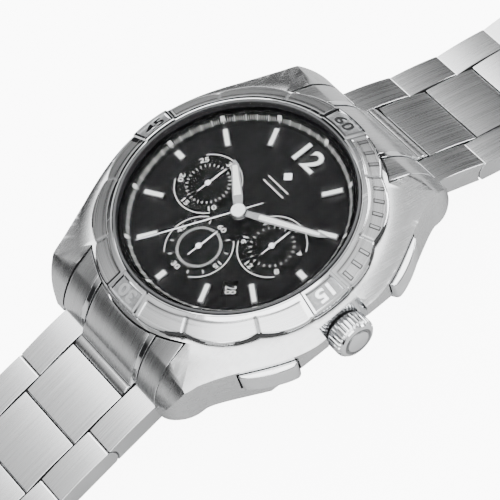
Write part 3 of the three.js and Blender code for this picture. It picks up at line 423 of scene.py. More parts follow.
ALONG = (9000.0, 45.0, 45.0)
M = {
    "satin_along": satin_steel("satin_steel_along", ALONG),
    "satin_flank": satin_steel("satin_steel_flank", (45.0, 45.0, 9000.0)),
    # Darker satin steel: a real grained finish on the bezel windows and case-back lines, and painted
    # recess shade on groove floors, hollows, cores and cut faces.
    "satin_dark": satin_steel(
        "satin_steel_dark_and_recess_shade", (2600.0,) * 3, (0.22, 0.225, 0.23), (0.40, 0.405, 0.41), (0.4, 0.55)
    ),
    "turned": turned_steel("turned_steel"),
    "polished": mirror_steel("polished_steel"),
    "hand": mirror_steel("silvered_hand", (0.13, 0.132, 0.135), 0.2),
    "needle": mirror_steel("silvered_needle", (0.42, 0.43, 0.44), 0.16),
    "frame": mirror_steel("silvered_frame", (0.06, 0.061, 0.062), 0.26),
    # Near-black: the dark outline round each bezel tick, and painted gap shade on the link sides that
    # face each other and on the bezel's underside, skirt and grip grooves.
    "outline_and_gap_shade": moulded("dark_outline_and_gap_shade", (0.02, 0.02, 0.021), 0.6),
    "spring": satin_steel("spring_steel", (2000.0,) * 3, (0.30, 0.31, 0.32), (0.5, 0.51, 0.52)),
    "twill": twill_lacquer(),
    "black": moulded("black_lacquer", (0.0012, 0.0012, 0.0014), 0.45, 6000.0, 0.1, 0.03, 0.0005),
    "subdial": moulded("subdial_black", (0.0016, 0.0016, 0.0018), 0.5, 9000.0, 0.2, 0.03, 0.0005),
    "white": moulded("white_print", (0.62, 0.63, 0.62), 0.5, 9000.0, 0.1, 0.1),
    "lume": moulded("white_lume", (0.74, 0.76, 0.74), 0.6, 12000.0, 0.3, 0.2),
    "crystal": clear_crystal(),
    "gasket": moulded("grey_gasket", (0.035, 0.036, 0.038), 0.5),
    "rubber": moulded("black_rubber", (0.03, 0.03, 0.03), 0.7),
    "brass": turned_steel("plated_brass", 3000.0, 0.0, (0.62, 0.48, 0.24), (0.80, 0.66, 0.38)),
    "copper": satin_steel("copper_wire", (9000.0, 200.0, 200.0), (0.55, 0.26, 0.12), (0.8, 0.45, 0.24)),
    "cell": turned_steel("battery_steel"),
    "polymer": moulded("holder_polymer", (0.72, 0.72, 0.69), 0.5, 2500.0, 0.2),
}

SATIN = ["satin_along", "polished"]
POLISHED = ["polished", "polished"]

# ------------------------------------------------------------------ Meshes


def scaled(points):
    return [tuple(MM * value for value in point) for point in points]


def linked(name, data):
    thing = bpy.data.objects.new(name, data)
    bpy.context.scene.collection.objects.link(thing)
    return thing


def copy_of(thing):
    return linked(thing.name, thing.data.copy())


def piece_of(name, vertices, faces, materials, kinds=None):
    """A mesh object from points in millimetres, with doubles merged and faces turned outwards."""
    mesh = bpy.data.meshes.new(name)
    mesh.from_pydata(scaled(vertices), [], faces)
    for material in materials:
        mesh.materials.append(M[material])
    if kinds:
        for polygon, kind in zip(mesh.polygons, kinds):
            polygon.material_index = kind
    made = bmesh.new()
    made.from_mesh(mesh)
    bmesh.ops.remove_doubles(made, verts=made.verts, dist=1e-7)
    bmesh.ops.dissolve_degenerate(made, edges=made.edges, dist=1e-8)
    bmesh.ops.recalc_face_normals(made, faces=made.faces)
    made.to_mesh(mesh)
    made.free()
    return linked(name, mesh)


def loft(name, rings, materials, closed=False, kinds=None):
    """Skins a row of rings of equal length; the ends are capped unless the row is closed."""
    count = len(rings[0])
    vertices = [point for ring in rings for point in ring]
    faces, marks = [], []
    spans = len(rings) if closed else len(rings) - 1
    for i in range(spans):
        low, high = i * count, ((i + 1) % len(rings)) * count
        for j in range(count):
            k = (j + 1) % count
            faces.append((low + j, low + k, high + k, high + j))
            marks.append(kinds[j] if kinds else 0)
    if not closed:
        faces.append(tuple(range(count)))
        faces.append(tuple(range((len(rings) - 1) * count, len(rings) * count)))
        marks += [0, 0]
    return piece_of(name, vertices, faces, materials, marks)


def prism_x(name, outline, x0, x1, materials):
    return loft(name, [[(x, y, z) for y, z in outline] for x in (x0, x1)], materials)


def prism_y(name, outline, y0, y1, materials):
    return loft(name, [[(x, y, z) for x, z in outline] for y in (y0, y1)], materials)


def prism_z(name, outline, z0, z1, materials):
    return loft(name, [[(x, y, z) for x, y in outline] for z in (z0, z1)], materials)


def oblong(a0, a1, b0, b1):
    """The four corners of a rectangle, anticlockwise from its lowest."""
    return [(a0, b0), (a1, b0), (a1, b1), (a0, b1)]


def rod(radius, start, end):
    """The half section of a plain round bar, as (radius, place) from its axis out."""
    return [(0, start), (radius, start), (radius, end), (0, end)]


def lathe(name, profile, materials, sides=192, kinds=None):
    """A closed profile of (radius, z) turned about Z."""
    turns = [2 * math.pi * i / sides for i in range(sides)]
    rings = [[(r * math.cos(a), r * math.sin(a), z) for r, z in profile] for a in turns]
    return loft(name, rings, materials, True, kinds)


def lathe_x(name, profile, z, materials, sides=96, kinds=None):
    """A closed profile of (radius, x) turned about a line along X at height z."""
    turns = [2 * math.pi * i / sides for i in range(sides)]
    rings = [[(x, r * math.cos(a), z + r * math.sin(a)) for r, x in profile] for a in turns]
    return loft(name, rings, materials, True, kinds)


def arc(cx, cy, radius, start, stop, steps):
    turns = [math.radians(start + (stop - start) * i / steps) for i in range(steps + 1)]
    return [(cx + radius * math.cos(a), cy + radius * math.sin(a)) for a in turns]


def bezier(a, b, c, d, steps):
    points = []
    for i in range(steps + 1):
        t = i / steps
        weights = ((1 - t) ** 3, 3 * t * (1 - t) ** 2, 3 * t * t * (1 - t), t**3)
        points.append(tuple(sum(w * p[k] for w, p in zip(weights, (a, b, c, d))) for k in (0, 1)))
    return points


def clock(radius, degrees):
    a = math.radians(degrees)
    return radius * math.sin(a), radius * math.cos(a)


def baked(thing):
    """The object with its modifiers made part of its mesh."""
    graph = bpy.context.evaluated_depsgraph_get()
    mesh = bpy.data.meshes.new_from_object(
        thing.evaluated_get(graph), preserve_all_data_layers=True, depsgraph=graph
    )
    thing.modifiers.clear()
    thing.data = mesh
    return thing


def modified(thing, kind, **settings):
    step = thing.modifiers.new(kind.lower(), kind)
    for label, value in settings.items():
        setattr(step, label, value)
    return baked(thing)


def dropped(*things):
    for thing in things:
        bpy.data.objects.remove(thing)


def combined(thing, others, operation):
    for other in others:
        step = thing.modifiers.new("combined", "BOOLEAN")
        step.operation = operation
        step.solver = "EXACT"
        step.object = other
    baked(thing)
    dropped(*others)
    return thing


def eased(thing, width, kind=0, segments=3, angle=32):
    """Rounds every edge sharper than the angle; the new faces take the material of that number."""
    return modified(
        thing,
        "BEVEL",
        width=width * MM,
        segments=segments,
        limit_method="ANGLE",
        angle_limit=math.radians(angle),
        material=kind,
        use_clamp_overlap=True,
        miter_outer="MITER_ARC",
    )


def smoothed(thing, angle=34):
    thing.data.polygons.foreach_set("use_smooth", [True] * len(thing.data.polygons))
    thing.data.set_sharp_from_angle(angle=math.radians(angle))
    return modified(thing, "WEIGHTED_NORMAL", keep_sharp=True, weight=60)


def merged(name, things):
    """Several meshes as one object."""
    made = bmesh.new()
    materials = []
    for thing in things:
        offset = {}
        for i, material in enumerate(thing.data.materials):
            if material not in materials:
                materials.append(material)
            offset[i] = materials.index(material)
        for polygon in thing.data.polygons:
            polygon.material_index = offset.get(polygon.material_index, 0)
        made.from_mesh(thing.data)
    mesh = bpy.data.meshes.new(name)
    made.to_mesh(mesh)
    made.free()
    for material in materials:
        mesh.materials.append(material)
    dropped(*things)
    return linked(name, mesh)


def placed(thing, matrix):
    thing.data.transform(matrix)
    if matrix.determinant() < 0:
        thing.data.flip_normals()
    return thing


def shift(x=0.0, y=0.0, z=0.0):
    return Matrix.Translation((x * MM, y * MM, z * MM))


def turn(degrees, axis="Z"):
    return Matrix.Rotation(math.radians(degrees), 4, axis)


def done(thing, name, body, nodes, angle=34):
    """Names a finished piece, sets it on its body and hides the CAD nodes it stands for."""
    smoothed(thing, angle)
    thing.name = name
    thing.data.name = name
    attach(thing, body)
    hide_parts(*nodes)
    return thing


# ------------------------------------------------------------------ Repeated marks


def mark_tree():
    """Geometry Nodes: bars set on a circle, each long side pointing at the centre."""
    tree = bpy.data.node_groups.new("ring_of_marks", "GeometryNodeTree")
    face = tree.interface
    face.new_socket("Geometry", in_out="INPUT", socket_type="NodeSocketGeometry")
    wanted = (
        ("Count", "NodeSocketInt", 60),
        ("Radius", FLOAT, 0.01),
        ("Length", FLOAT, 0.001),
        ("Width", FLOAT, 0.0002),
        ("Height", FLOAT, 0.0001),
        ("Start", FLOAT, 0.0),
        ("Step", FLOAT, 0.1),
        ("Tilt", FLOAT, 0.0),
        ("Finish", "NodeSocketMaterial", None),
    )
    sockets = {}
    for label, kind, value in wanted:
        socket = face.new_socket(label, in_out="INPUT", socket_type=kind)
        if value is not None:
            socket.default_value = value
        sockets[label] = socket.identifier
    face.new_socket("Geometry", in_out="OUTPUT", socket_type="NodeSocketGeometry")
    w = Wiring(tree)
    start = w.put("NodeGroupInput")
    end = w.put("NodeGroupOutput")
    given = {socket.name: socket for socket in start.outputs}
    angle = w.sum("ADD", w.times(w.put("GeometryNodeInputIndex"), given["Step"]), given["Start"])
    place = w.put(
        "ShaderNodeCombineXYZ",
        w.times(w.sum("COSINE", angle), given["Radius"]),
        w.times(w.sum("SINE", angle), given["Radius"]),
    )
    points = w.put("GeometryNodePoints", given["Count"], place)
    bar = w.put("GeometryNodeMeshCube")
    size = w.put("ShaderNodeCombineXYZ", given["Length"], given["Width"], given["Height"])
    w.feed(bar.inputs["Size"], size)
    stand = w.put("ShaderNodeCombineXYZ", 0.0, given["Tilt"], angle)
    facing = w.put("FunctionNodeEulerToRotation", stand)
    row = w.put("GeometryNodeInstanceOnPoints")
    w.fill(row, {"Points": points, "Instance": bar.outputs["Mesh"], "Rotation": facing})
    real = w.put("GeometryNodeRealizeInstances", row)
    finish = w.put("GeometryNodeSetMaterial", real)
    w.feed(finish.inputs["Material"], given["Finish"])
    w.feed(end.inputs[0], finish)
    return tree, sockets


MARKS, MARK_SOCKETS = mark_tree()


def marks(count, radius, length, width, height, finish, start=0.0, step=None, tilt=0.0):
    """A ring of bars as a plain mesh, about Z at the origin. Sizes in mm, angles in degrees."""
    host = linked("marks", bpy.data.meshes.new("marks"))
    grow = host.modifiers.new("ring_of_marks", "NODES")
    grow.node_group = MARKS
    values = {
        "Count": count,
        "Radius": radius * MM,
        "Length": length * MM,
        "Width": width * MM,
        "Height": height * MM,
        "Start": math.radians(90 - start),
        "Step": -math.radians(360 / count if step is None else step),
        "Tilt": math.radians(tilt),
        "Finish": M[finish],
    }
    for label, value in values.items():
        grow[MARK_SOCKETS[label]] = value
    return baked(host)


def lettered(text, size, finish, depth=0.06, bold=0.0, width=1.0):
    """A numeral as a mesh, centred on the origin and facing +Z."""
    curve = bpy.data.curves.new("numeral", "FONT")
    curve.body = text
    curve.size = size * MM
    curve.extrude = depth / 2 * MM
    curve.offset = bold * size * MM
    curve.align_x = "CENTER"
    curve.align_y = "CENTER"
    curve.resolution_u = 4
    host = linked("numeral", curve)
    graph = bpy.context.evaluated_depsgraph_get()
    mesh = bpy.data.meshes.new_from_object(host.evaluated_get(graph))
    dropped(host)
    mesh.materials.clear()
    mesh.materials.append(M[finish])
    low = Vector((min(v.co[k] for v in mesh.vertices) for k in range(3)))
    high = Vector((max(v.co[k] for v in mesh.vertices) for k in range(3)))
    mesh.transform(Matrix.Diagonal((width, 1, 1, 1)) @ Matrix.Translation(-(low + high) / 2))
    return linked("numeral", mesh)


# ------------------------------------------------------------------ Case


def lug_crest(steps, drop=0.0):
    """The lug's top edge as (y, z), from its shoulder to its end face."""
    shoulder = BODY_R - 2.5
    fall = CASE_TOP_Z - LUG_DROP_Z
    reach = LUG_END_Y - 0.3 - shoulder
    curve = bezier(
        (shoulder, CASE_TOP_Z),
        (shoulder + 0.43 * reach, CASE_TOP_Z - 0.127 * fall),
        (shoulder + 0.93 * reach, CASE_TOP_Z - 0.633 * fall),
        (shoulder + reach, LUG_DROP_Z),
        steps,
    )
    return [(y, z - drop) for y, z in curve]


def case_side():
    nose = 0.7
    half = [
        *lug_crest(28),
        *arc(LUG_END_Y - nose, LUG_LOW_Z + nose, nose, 0, -90, 8),
        *bezier(
            (LUG_END_Y - 2, LUG_LOW_Z),
            (LUG_END_Y - 4.5, LUG_LOW_Z),
            (BODY_R, CASE_UNDER_Z),
            (19.0, CASE_UNDER_Z),
            12,
        ),
    ]
    return half + [(-y, z) for y, z in reversed(half)]


def flank(reach, flat):
    waist = BODY_R - 0.5
    span = waist - flat
    tip = LUG_END_Y - waist
    tip_half = LUG_GAP + 1.4
    side = bezier(
        (reach, flat),
        (reach - 0.25, flat + 0.33 * span),
        (LUG_SIDE + 0.33 * (reach - LUG_SIDE), waist - 0.34 * span),
        (LUG_SIDE, waist),
        30,
    )
    end = bezier(
        (LUG_SIDE, waist),
        (LUG_SIDE - 0.5, waist + 0.47 * tip),
        (tip_half + 1.9, LUG_END_Y - 0.15 * tip),
        (tip_half, LUG_END_Y),
        16,
    )
    return side + end[1:] + [(LUG_GAP, LUG_END_Y)]


def case_plan():
    crown_side = flank(BODY_R + 2.2, 4.3)
    nine_side = flank(BODY_R + 0.8, 1.5)
    return [
        *[(x, -y) for x, y in reversed(crown_side)],
        *crown_side,
        *[(-x, y) for x, y in reversed(nine_side)],
        *[(-x, -y) for x, y in nine_side],
    ]


def pusher_room(side):
    half = PUSHER_HALF + 0.2
    low, high = PUSHER_Z - PUSHER_HALF_HEIGHT - 0.2, PUSHER_Z + PUSHER_HALF_HEIGHT + 0.2
    floor_x = PUSHER_FACE - PUSHER_DEPTH - 1.1
    room = prism_x("room", oblong(-half, half, low, high), floor_x, BEYOND, ["polished"])
    return placed(room, turn(side * PUSHER_ANGLE))


def make_case():
    body = prism_x("case", case_side(), -30, 30, ["satin_flank", "polished", "satin_along"])
    plan = prism_z("plan", case_plan(), -10, 30, ["satin_flank"])
    crest = lathe(
        "crest",
        [(0, -4), (34, -4), (34, 4.8), (23.2, 8.4), (BODY_R, CASE_TOP_Z), (0, CASE_TOP_Z)],
        ["satin_along"],
        160,
    )
    section = prism_y(
        "section",
        [(-20.4, -2), (20.4, -2), (20.4, CASE_UNDER_Z), (23.2, 6.2), (23.2, 11)]
        + [(-23.2, 11), (-23.2, 6.2), (-20.4, CASE_UNDER_Z)],
        -BEYOND,
        BEYOND,
        ["satin_flank"],
    )
    for tool in (plan, crest, section):
        combined(body, [tool], "INTERSECT")
    gaps = []
    for side in (1, -1):
        wide = prism_z("gap", oblong(-LUG_GAP, LUG_GAP, 0, side * BEYOND), -10, 30, ["satin_flank"])
        core = lathe("core", rod(BODY_R, -12, 32), ["satin_flank"], 160)
        gaps.append(combined(wide, [core], "DIFFERENCE"))
    bore = lathe("bore", rod(CAVITY_R, -5, 20), ["satin_flank"], 128)
    room = CROWN_R + 0.4
    crown_room = lathe_x("crown_room", rod(room, CROWN_SEAT_X, BEYOND), CROWN_Z, ["polished"])
    above = prism_x("above", oblong(-room, room, CROWN_Z, BEYOND), CROWN_SEAT_X, BEYOND, ["polished"])
    combined(crown_room, [above], "UNION")
    holes = []
    for side in (1, -1):
        hole = lathe_x("bar_hole", rod(BAR_HOLE_R, -BAR_HOLE_END, BAR_HOLE_END), 0, ["polished"], 32)
        holes.append(placed(hole, shift(0, side * (LUG_END_Y - 2.9), LUG_LOW_Z + 2.2)))
    combined(body, [*gaps, bore, crown_room, pusher_room(1), pusher_room(-1), *holes], "DIFFERENCE")
    for polygon in body.data.polygons:
        if abs(polygon.normal.z) > 0.5:
            polygon.material_index = 2
    eased(body, 0.32, 1, 3, 30)
    collar = lathe(
        "collar",
        [(CAVITY_R, 8.6), (18.2, 8.6), (18.2, 11.2), (17.5, 11.2), (17.5, 11.0), (CAVITY_R, 11.0)],
        ["turned", "black"],
        kinds=[0, 0, 0, 1, 1, 1],
    )
    done(merged("case", [body, collar]), "case_body", "head", ["case_middle"])


def make_case_back():
    """The back: a turned disc with key notches, a sunken middle and a stepped rim."""
    rim = 18.8
    profile = [
        (0, 0.25),
        (11.2, 0.25),
        (11.5, 0.0),
        (17.2, 0.0),
        (17.6, 0.08),
        (rim, 0.8),
        (rim, 1.3),
        (16.2, 1.3),
        (16.2, 2.3),
        (15.0, 2.3),
        (15.0, 1.3),
        (0, 1.3),
    ]
    disc = lathe("back", profile, ["turned", "satin_dark"], 192)
    # The notch walls take the darker steel: painted shade in the notches.
    notches = marks(6, 15.6, 2.2, 2.6, 1.1, "satin_dark")
    combined(disc, [notches], "DIFFERENCE")
    eased(disc, 0.08, 0, 2, 30)
    lines = [
        marks(120, 12.7, 0.9, 0.12, 0.04, "satin_dark"),
        marks(12, 12.7, 1.5, 0.3, 0.05, "polished"),
    ]
    done(merged("back", [disc, *lines]), "case_back_plate", "head", ["case_back"])


# ------------------------------------------------------------------ Bezel

BLOCK_HALF = 8.0
SKIRT_R = 20.1
TICK_LAYERS = ((1.6, 0.66, 0.01, "outline_and_gap_shade"), (1.3, 0.36, 0.03, "polished"))
NUMERALS = ((0, "60"), (90, "15"), (180, "30"), (270, "45"))


def ease(value, low, high):
    t = min(1.0, max(0.0, (value - low) / (high - low)))
    return t * t * (3 - 2 * t)


def off(angle, centre):
    """Degrees between two clock angles, from 0 to 180."""
    return abs((angle - centre + 180) % 360 - 180)


def off_hour(angle):
    return off(angle % 30, 0) if angle % 30 < 15 else 30 - angle % 30


def off_block(angle):
    return min(off(angle, centre) for centre, _ in NUMERALS)


def bezel_rim(angle):
    """Outer radius at a clock angle: full between the hours, drawn in at each hour."""
    share = 1 - min(1.0, off_hour(angle) / 15)
    kept = 1 - ease(BLOCK_HALF + 2 - off_block(angle), 0, 3)
    return BEZEL_OUT_R - BEZEL_NOTCH * share**2 * kept


def bezel_lift(angle, share):
    """Height over the plain slope, by clock angle and by share of the way out."""
    near_block = off_block(angle)
    block = 1 - ease(near_block, BLOCK_HALF - 0.1, BLOCK_HALF + 0.5)
    window = (1 - ease(near_block, BLOCK_HALF - 1.6, BLOCK_HALF - 1.1)) * ease(share, 0.14, 0.2)
    window *= 1 - ease(share, 0.84, 0.9)
    sector = ease(near_block, BLOCK_HALF + 1.6, BLOCK_HALF + 2.2)
    inset = sector * ease(share, 0.2, 0.27)
    lift = 0.34 * block - 0.3 * window - 0.12 * inset
    if near_block > BLOCK_HALF + 4:
        lift -= 0.12 * (1 - ease(off_hour(angle), 0.3, 0.9)) * inset
    return lift


def make_bezel():
    """A polar mesh: profile rings round the whole bezel, with blocks, windows and grips."""
    steps = 720
    shares = [0.0, 0.035, 0.07, 0.1, 0.14, 0.17, 0.2, 0.235, 0.27, 0.32, 0.4, 0.5, 0.6, 0.7, 0.78]
    shares += [0.84, 0.87, 0.9, 0.93]
    base = BEZEL_Z - 0.34
    rings = []
    for i in range(steps):
        angle = 360 * i / steps
        rim = bezel_rim(angle)
        in_grip = 1 - ease(off(angle % 30, 15), 5.0, 5.6)
        if off_block(angle) < BLOCK_HALF + 1:
            in_grip = 0.0
        rib = 0.12 * (1 if (angle * 0.9) % 1 < 0.5 else 0) * in_grip
        line = [(BEZEL_IN_R, base - 1.0), (BEZEL_IN_R, base - 0.12)]
        for share in shares:
            radius = BEZEL_IN_R + 0.12 + (rim - BEZEL_IN_R - 0.12) * share
            fall = BEZEL_FALL * (radius - BEZEL_IN_R) / (BEZEL_OUT_R - BEZEL_IN_R)
            rise = min(0.0, -0.1 + 3 * share)
            line.append((radius, base - fall + bezel_lift(angle, share) + rise))
        edge = line[-1][1]
        line += [
            (rim - 0.06, edge - 0.14),
            (rim, edge - 0.3),
            (rim - 0.55 * in_grip, edge - 0.36 - 0.1 * in_grip),
            (rim - 0.6 * in_grip + rib, BEZEL_SEAT_Z + 0.42),
            (rim, BEZEL_SEAT_Z + 0.26),
            (rim - 0.1, BEZEL_SEAT_Z),
        ]
        line += [(SKIRT_R, BEZEL_SEAT_Z), (SKIRT_R, 10.4), (18.5, 10.4), (18.5, base - 1.0)]
        rings.append([(*clock(r, angle), z) for r, z in line])
    body = loft("bezel", rings, ["turned", "polished", "satin_dark", "outline_and_gap_shade"], True)
    paint_bezel(body)
    extras = []
    tilt = math.degrees(math.atan2(BEZEL_FALL, BEZEL_OUT_R - BEZEL_IN_R))
    middle = 0.52
    radius = BEZEL_IN_R + (BEZEL_OUT_R - BEZEL_IN_R) * middle
    height = base - BEZEL_FALL * middle + 0.05
    for angle, text in NUMERALS:
        numeral = lettered(text, 2.5, "polished", 0.16, 0.03, 1.25)
        placed(numeral, turn(-angle) @ shift(0, radius, height) @ turn(-tilt, "X"))
        extras.append(numeral)
    outer = radius + 0.35
    sunk = base - BEZEL_FALL * (outer - BEZEL_IN_R) / (BEZEL_OUT_R - BEZEL_IN_R) - 0.12
    for minute in (2, 3, 4, 6, 7, 8, 9, 11, 12, 13):
        for length, width, rise, finish in TICK_LAYERS:
            tick = marks(1, outer, length, width, 0.06, finish, minute * 6, 0, tilt)
            extras.append(placed(tick, shift(z=sunk + rise)))
    done(merged("bezel", [body, *extras]), "turning_bezel", "bezel", ["bezel"], angle=28)


def paint_bezel(body):
    """Polish on the steep faces and chamfers, dark grain in the sunken windows; painted shade in
    near-black on the faces under the outer edge, and in darker steel along the hour grooves.
    """
    for polygon in body.data.polygons:
        middle = polygon.center / MM
        radius = math.hypot(middle.x, middle.y)
        angle = math.degrees(math.atan2(middle.x, middle.y)) % 360
        near_block = off_block(angle)
        share = (radius - BEZEL_IN_R) / (bezel_rim(angle) - BEZEL_IN_R)
        # Painted gap shade: steep and downward faces beyond 19 mm, under the outer edge, turn
        # near-black.
        if polygon.normal.z < 0.35 and middle.z < 10.9 and radius < BEZEL_OUT_R - 0.12:
            polygon.material_index = 3 if radius > 19 else 0
        elif near_block < BLOCK_HALF - 1.3 and 0.2 < share < 0.84:
            polygon.material_index = 2
        elif near_block < BLOCK_HALF + 2.4 or share < 0.22 or share > 0.93:
            polygon.material_index = 1
        # Painted shade: the hour grooves take the darker steel.
        elif min(angle % 30, 30 - angle % 30) < 0.55:
            polygon.material_index = 2


# ------------------------------------------------------------------ Crystal and dial


def make_crystal():
    low = CRYSTAL_Z - 1.6
    profile = [(0, low), (CRYSTAL_R, low), (CRYSTAL_R, CRYSTAL_Z - 0.35)]
    profile += [(CRYSTAL_R - 0.35, CRYSTAL_Z), (0, CRYSTAL_Z)]
    glass = eased(lathe("crystal", profile, ["crystal"]), 0.08, 0, 2, 20)
    done(glass, "flat_crystal", "head", ["crystal"])
    seal = lathe(
        "seal",
        [(GASKET_R - 0.4, 11.05), (GASKET_R, 11.05), (GASKET_R, 12.2), (GASKET_R - 0.1, 12.3)]
        + [(GASKET_R - 0.3, 12.3), (GASKET_R - 0.4, 12.2)],
        ["gasket"],
    )
    done(seal, "crystal_seal", "head", ["crystal_gasket"])


TRACK = (  # how many, radius, length, width, height
    (300, 15.72, 0.6, 0.07, 0.03),
    (60, 15.72, 0.95, 0.14, 0.035),
    (12, 15.92, 0.75, 0.62, 0.08),
)


def make_flange():
    """The sloping ring round the dial, with the fifth-of-a-second track printed on it."""
    outer = CAVITY_R - 0.1
    profile = [
        (FLANGE_IN_R, DIAL_Z + 0.05),
        (outer, DIAL_Z + 0.05),
        (outer, FLANGE_TOP_Z),
        (FLANGE_IN_R + 0.1, DIAL_Z + 0.25),
        (FLANGE_IN_R, DIAL_Z + 0.2),
    ]
    ring = lathe("flange", profile, ["black"])
    slope = math.degrees(math.atan2(FLANGE_TOP_Z - DIAL_Z - 0.25, outer - FLANGE_IN_R - 0.1))
    per_mm = math.tan(math.radians(slope))

    def on_slope(radius):
        return DIAL_Z + 0.25 + (radius - FLANGE_IN_R - 0.1) * per_mm + 0.015

    track = [
        placed(marks(count, at, length, width, rise, "white", 0, None, -slope), shift(z=on_slope(at)))
        for count, at, length, width, rise in TRACK
    ]
    done(merged("flange", [ring, *track]), "minute_flange", "head", ["rehaut_ring"])


SUBDIALS = {
    "minute_counter": (270, ("30", "5", "10", "15", "20", "25"), 30),
    "small_seconds": (180, ("60", "15", "30", "45"), 60),
    "day_hours": (90, ("24", "4", "8", "12", "16", "20"), 24),
}
SUBDIAL_R = 4.95
TICK_R = 3.1
FIGURE_R = 4.12


def subdial_parts(angle, figures, ticks):
    """A sunken counter: ringed floor, printed scale, figures and an open arc round it."""
    x, y = clock(SUBDIAL_AT, angle)
    here = shift(x, y, DIAL_Z)
    well = lathe(
        "well",
        [(0, -0.3), (SUBDIAL_R, -0.3), (SUBDIAL_R, 0.02), (SUBDIAL_R - 0.12, 0.03)]
        + [(SUBDIAL_R - 0.2, -0.04), (3.45, -0.04), (3.4, -0.02), (3.3, -0.04), (0, -0.04)],
        ["subdial"],
        128,
    )
    parts = [placed(well, here)]
    parts.append(placed(marks(ticks, TICK_R, 0.42, 0.1, 0.03, "white"), here @ shift(z=-0.03)))
    if len(figures) == 4:
        for start in (30, 60):
            strokes = marks(4, FIGURE_R, 0.5, 0.15, 0.03, "white", start, 90)
            parts.append(placed(strokes, here @ shift(z=-0.03)))
    for i, text in enumerate(figures):
        at = 360 * i / len(figures)
        lean = 180 - at if 90 < at < 270 else -at
        figure = lettered(text, 1.05, "white", 0.03, 0.014, 1.4)
        parts.append(placed(figure, here @ shift(*clock(FIGURE_R, at), -0.02) @ turn(lean)))
    section = oblong(SUBDIAL_R - 0.13, SUBDIAL_R, 0.0, 0.05)
    for start in (angle + 35, angle + 215):
        turns = [start + 110 * k / 36 for k in range(37)]
        rings = [[(*clock(r, a), z) for r, z in section] for a in turns]
        parts.append(placed(loft("rim_line", rings, ["white"]), here))
    return parts


FRAME_WALL = 0.24
MARKER_AT = 13.16
SHORT_MARKER_AT = 13.9
TWELVE_AT = 12.7


def marker(angle, radius, length, width):
    """An applied hour bar: a bevelled silver frame round a raised white filling."""
    x, y = width / 2, length / 2
    frame_part = eased(prism_z("bar", oblong(-x, x, -y, y), 0, 0.32, ["frame"]), 0.12, 0, 2, 30)
    x, y = x - FRAME_WALL, y - FRAME_WALL
    filling = eased(prism_z("filling", oblong(-x, x, -y, y), 0.2, 0.36, ["lume"]), 0.03, 0, 2, 30)
    here = turn(-angle) @ shift(0, radius, DIAL_Z)
    return [placed(frame_part, here), placed(filling, here)]


def make_dial():
    half = 1.05
    plate = lathe("plate", rod(DIAL_R, DIAL_Z - 0.4, DIAL_Z), ["twill", "black"])
    window = prism_z("window", oblong(-half, half, -half, half), 0, 20, ["black"])
    placed(window, turn(-DATE_AT) @ shift(0, DATE_R, 0))
    wells = []
    for angle, _, _ in SUBDIALS.values():
        well = lathe("well_cut", rod(SUBDIAL_R, DIAL_Z - 0.25, 20), ["black"], 128)
        wells.append(placed(well, shift(*clock(SUBDIAL_AT, angle))))
    combined(plate, [window, *wells], "DIFFERENCE")
    parts = [plate]
    for angle, figures, ticks in SUBDIALS.values():
        parts += subdial_parts(angle, figures, ticks)
    for hour in (1, 2, 4, 5, 7, 8, 10, 11):
        parts += marker(30 * hour, MARKER_AT, 3.3, 1.1)
    for hour in (3, 6, 9):
        parts += marker(30 * hour, SHORT_MARKER_AT, 1.9, 1.25)
    for finish, depth, bold, rise in (("hand", 0.34, 0.035, 0.17), ("lume", 0.1, 0.008, 0.34)):
        twelve = lettered("12", 4.6, finish, depth, bold, 1.12)
        parts.append(placed(twelve, shift(0, TWELVE_AT, DIAL_Z + rise)))
    lozenge = [(0, 0.8), (0.8, 0), (0, -0.8), (-0.8, 0)]
    parts.append(placed(prism_z("lozenge", lozenge, 0, 0.12, ["needle"]), shift(0, 8.7, DIAL_Z)))
    for low in (6.0, 6.9):
        bar = prism_z("line", oblong(-2.2, 2.2, -0.09, 0.09), 0, 0.05, ["white"])
        parts.append(placed(bar, shift(0, low, DIAL_Z)))
    ends = oblong(-1.2, 1.2, -1.2, 1.2)
    inner = [(0.88 * x, 0.88 * y) for x, y in ends]
    rim = loft(
        "date_rim",
        [
            [(*p, 0.0) for p in ends],
            [(*p, 0.08) for p in ends],
            [(*p, 0.08) for p in inner],
            [(*p, -0.3) for p in inner],
        ],
        ["black"],
        True,
    )
    parts.append(placed(rim, turn(-DATE_AT) @ shift(0, DATE_R, DIAL_Z)))
    done(merged("dial", parts), "twill_dial", "head", ["dial"], 30)


def make_date_ring():
    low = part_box("date_ring")[0].z / MM
    parts = [lathe("date", oblong(10.4, 13.0, low, low + 0.2), ["black"])]
    for day in range(1, 32):
        at = DATE_AT + (day - DATE_SHOWN) * 360 / 31
        figure = lettered(str(day), 2.3, "white", 0.03, 0.0, 0.6)
        parts.append(placed(figure, turn(-at) @ shift(0, DATE_R, low + 0.215) @ turn(90)))
    done(merged("date", parts), "date_wheel", "date_ring", ["date_ring"])


# ------------------------------------------------------------------ Hands


def hand_blade(length, width, tail, thick, finish, lume_from, lume_to):
    """A tapered blade towards +Y with a ridge along it and a white filling."""
    half = width / 2
    places = [(-tail, 0.5), (0, 0.68), (length * 0.3, 1.0), (length * 0.9, 0.74), (length - 0.02, 0.12)]
    rings = []
    for y, share in places:
        x = max(half * share, 0.03)
        rings.append([(-x, y, 0), (x, y, 0), (x, y, thick * 0.55), (0, y, thick), (-x, y, thick * 0.55)])
    parts = [loft("blade", rings, [finish])]
    if lume_to > lume_from:
        slim = [(y, max(half * share - 0.22, 0.05)) for y, share in places]
        inner = []
        for k in range(9):
            y = lume_from + (lume_to - lume_from) * k / 8
            for (y0, x0), (y1, x1) in zip(slim, slim[1:]):
                if y0 <= y <= y1:
                    x = x0 + (x1 - x0) * (y - y0) / (y1 - y0)
                    inner.append([(a, y, b) for a, b in oblong(-x, x, 0.03, thick + 0.02)])
        parts.append(loft("filling", inner, ["lume"]))
    return parts


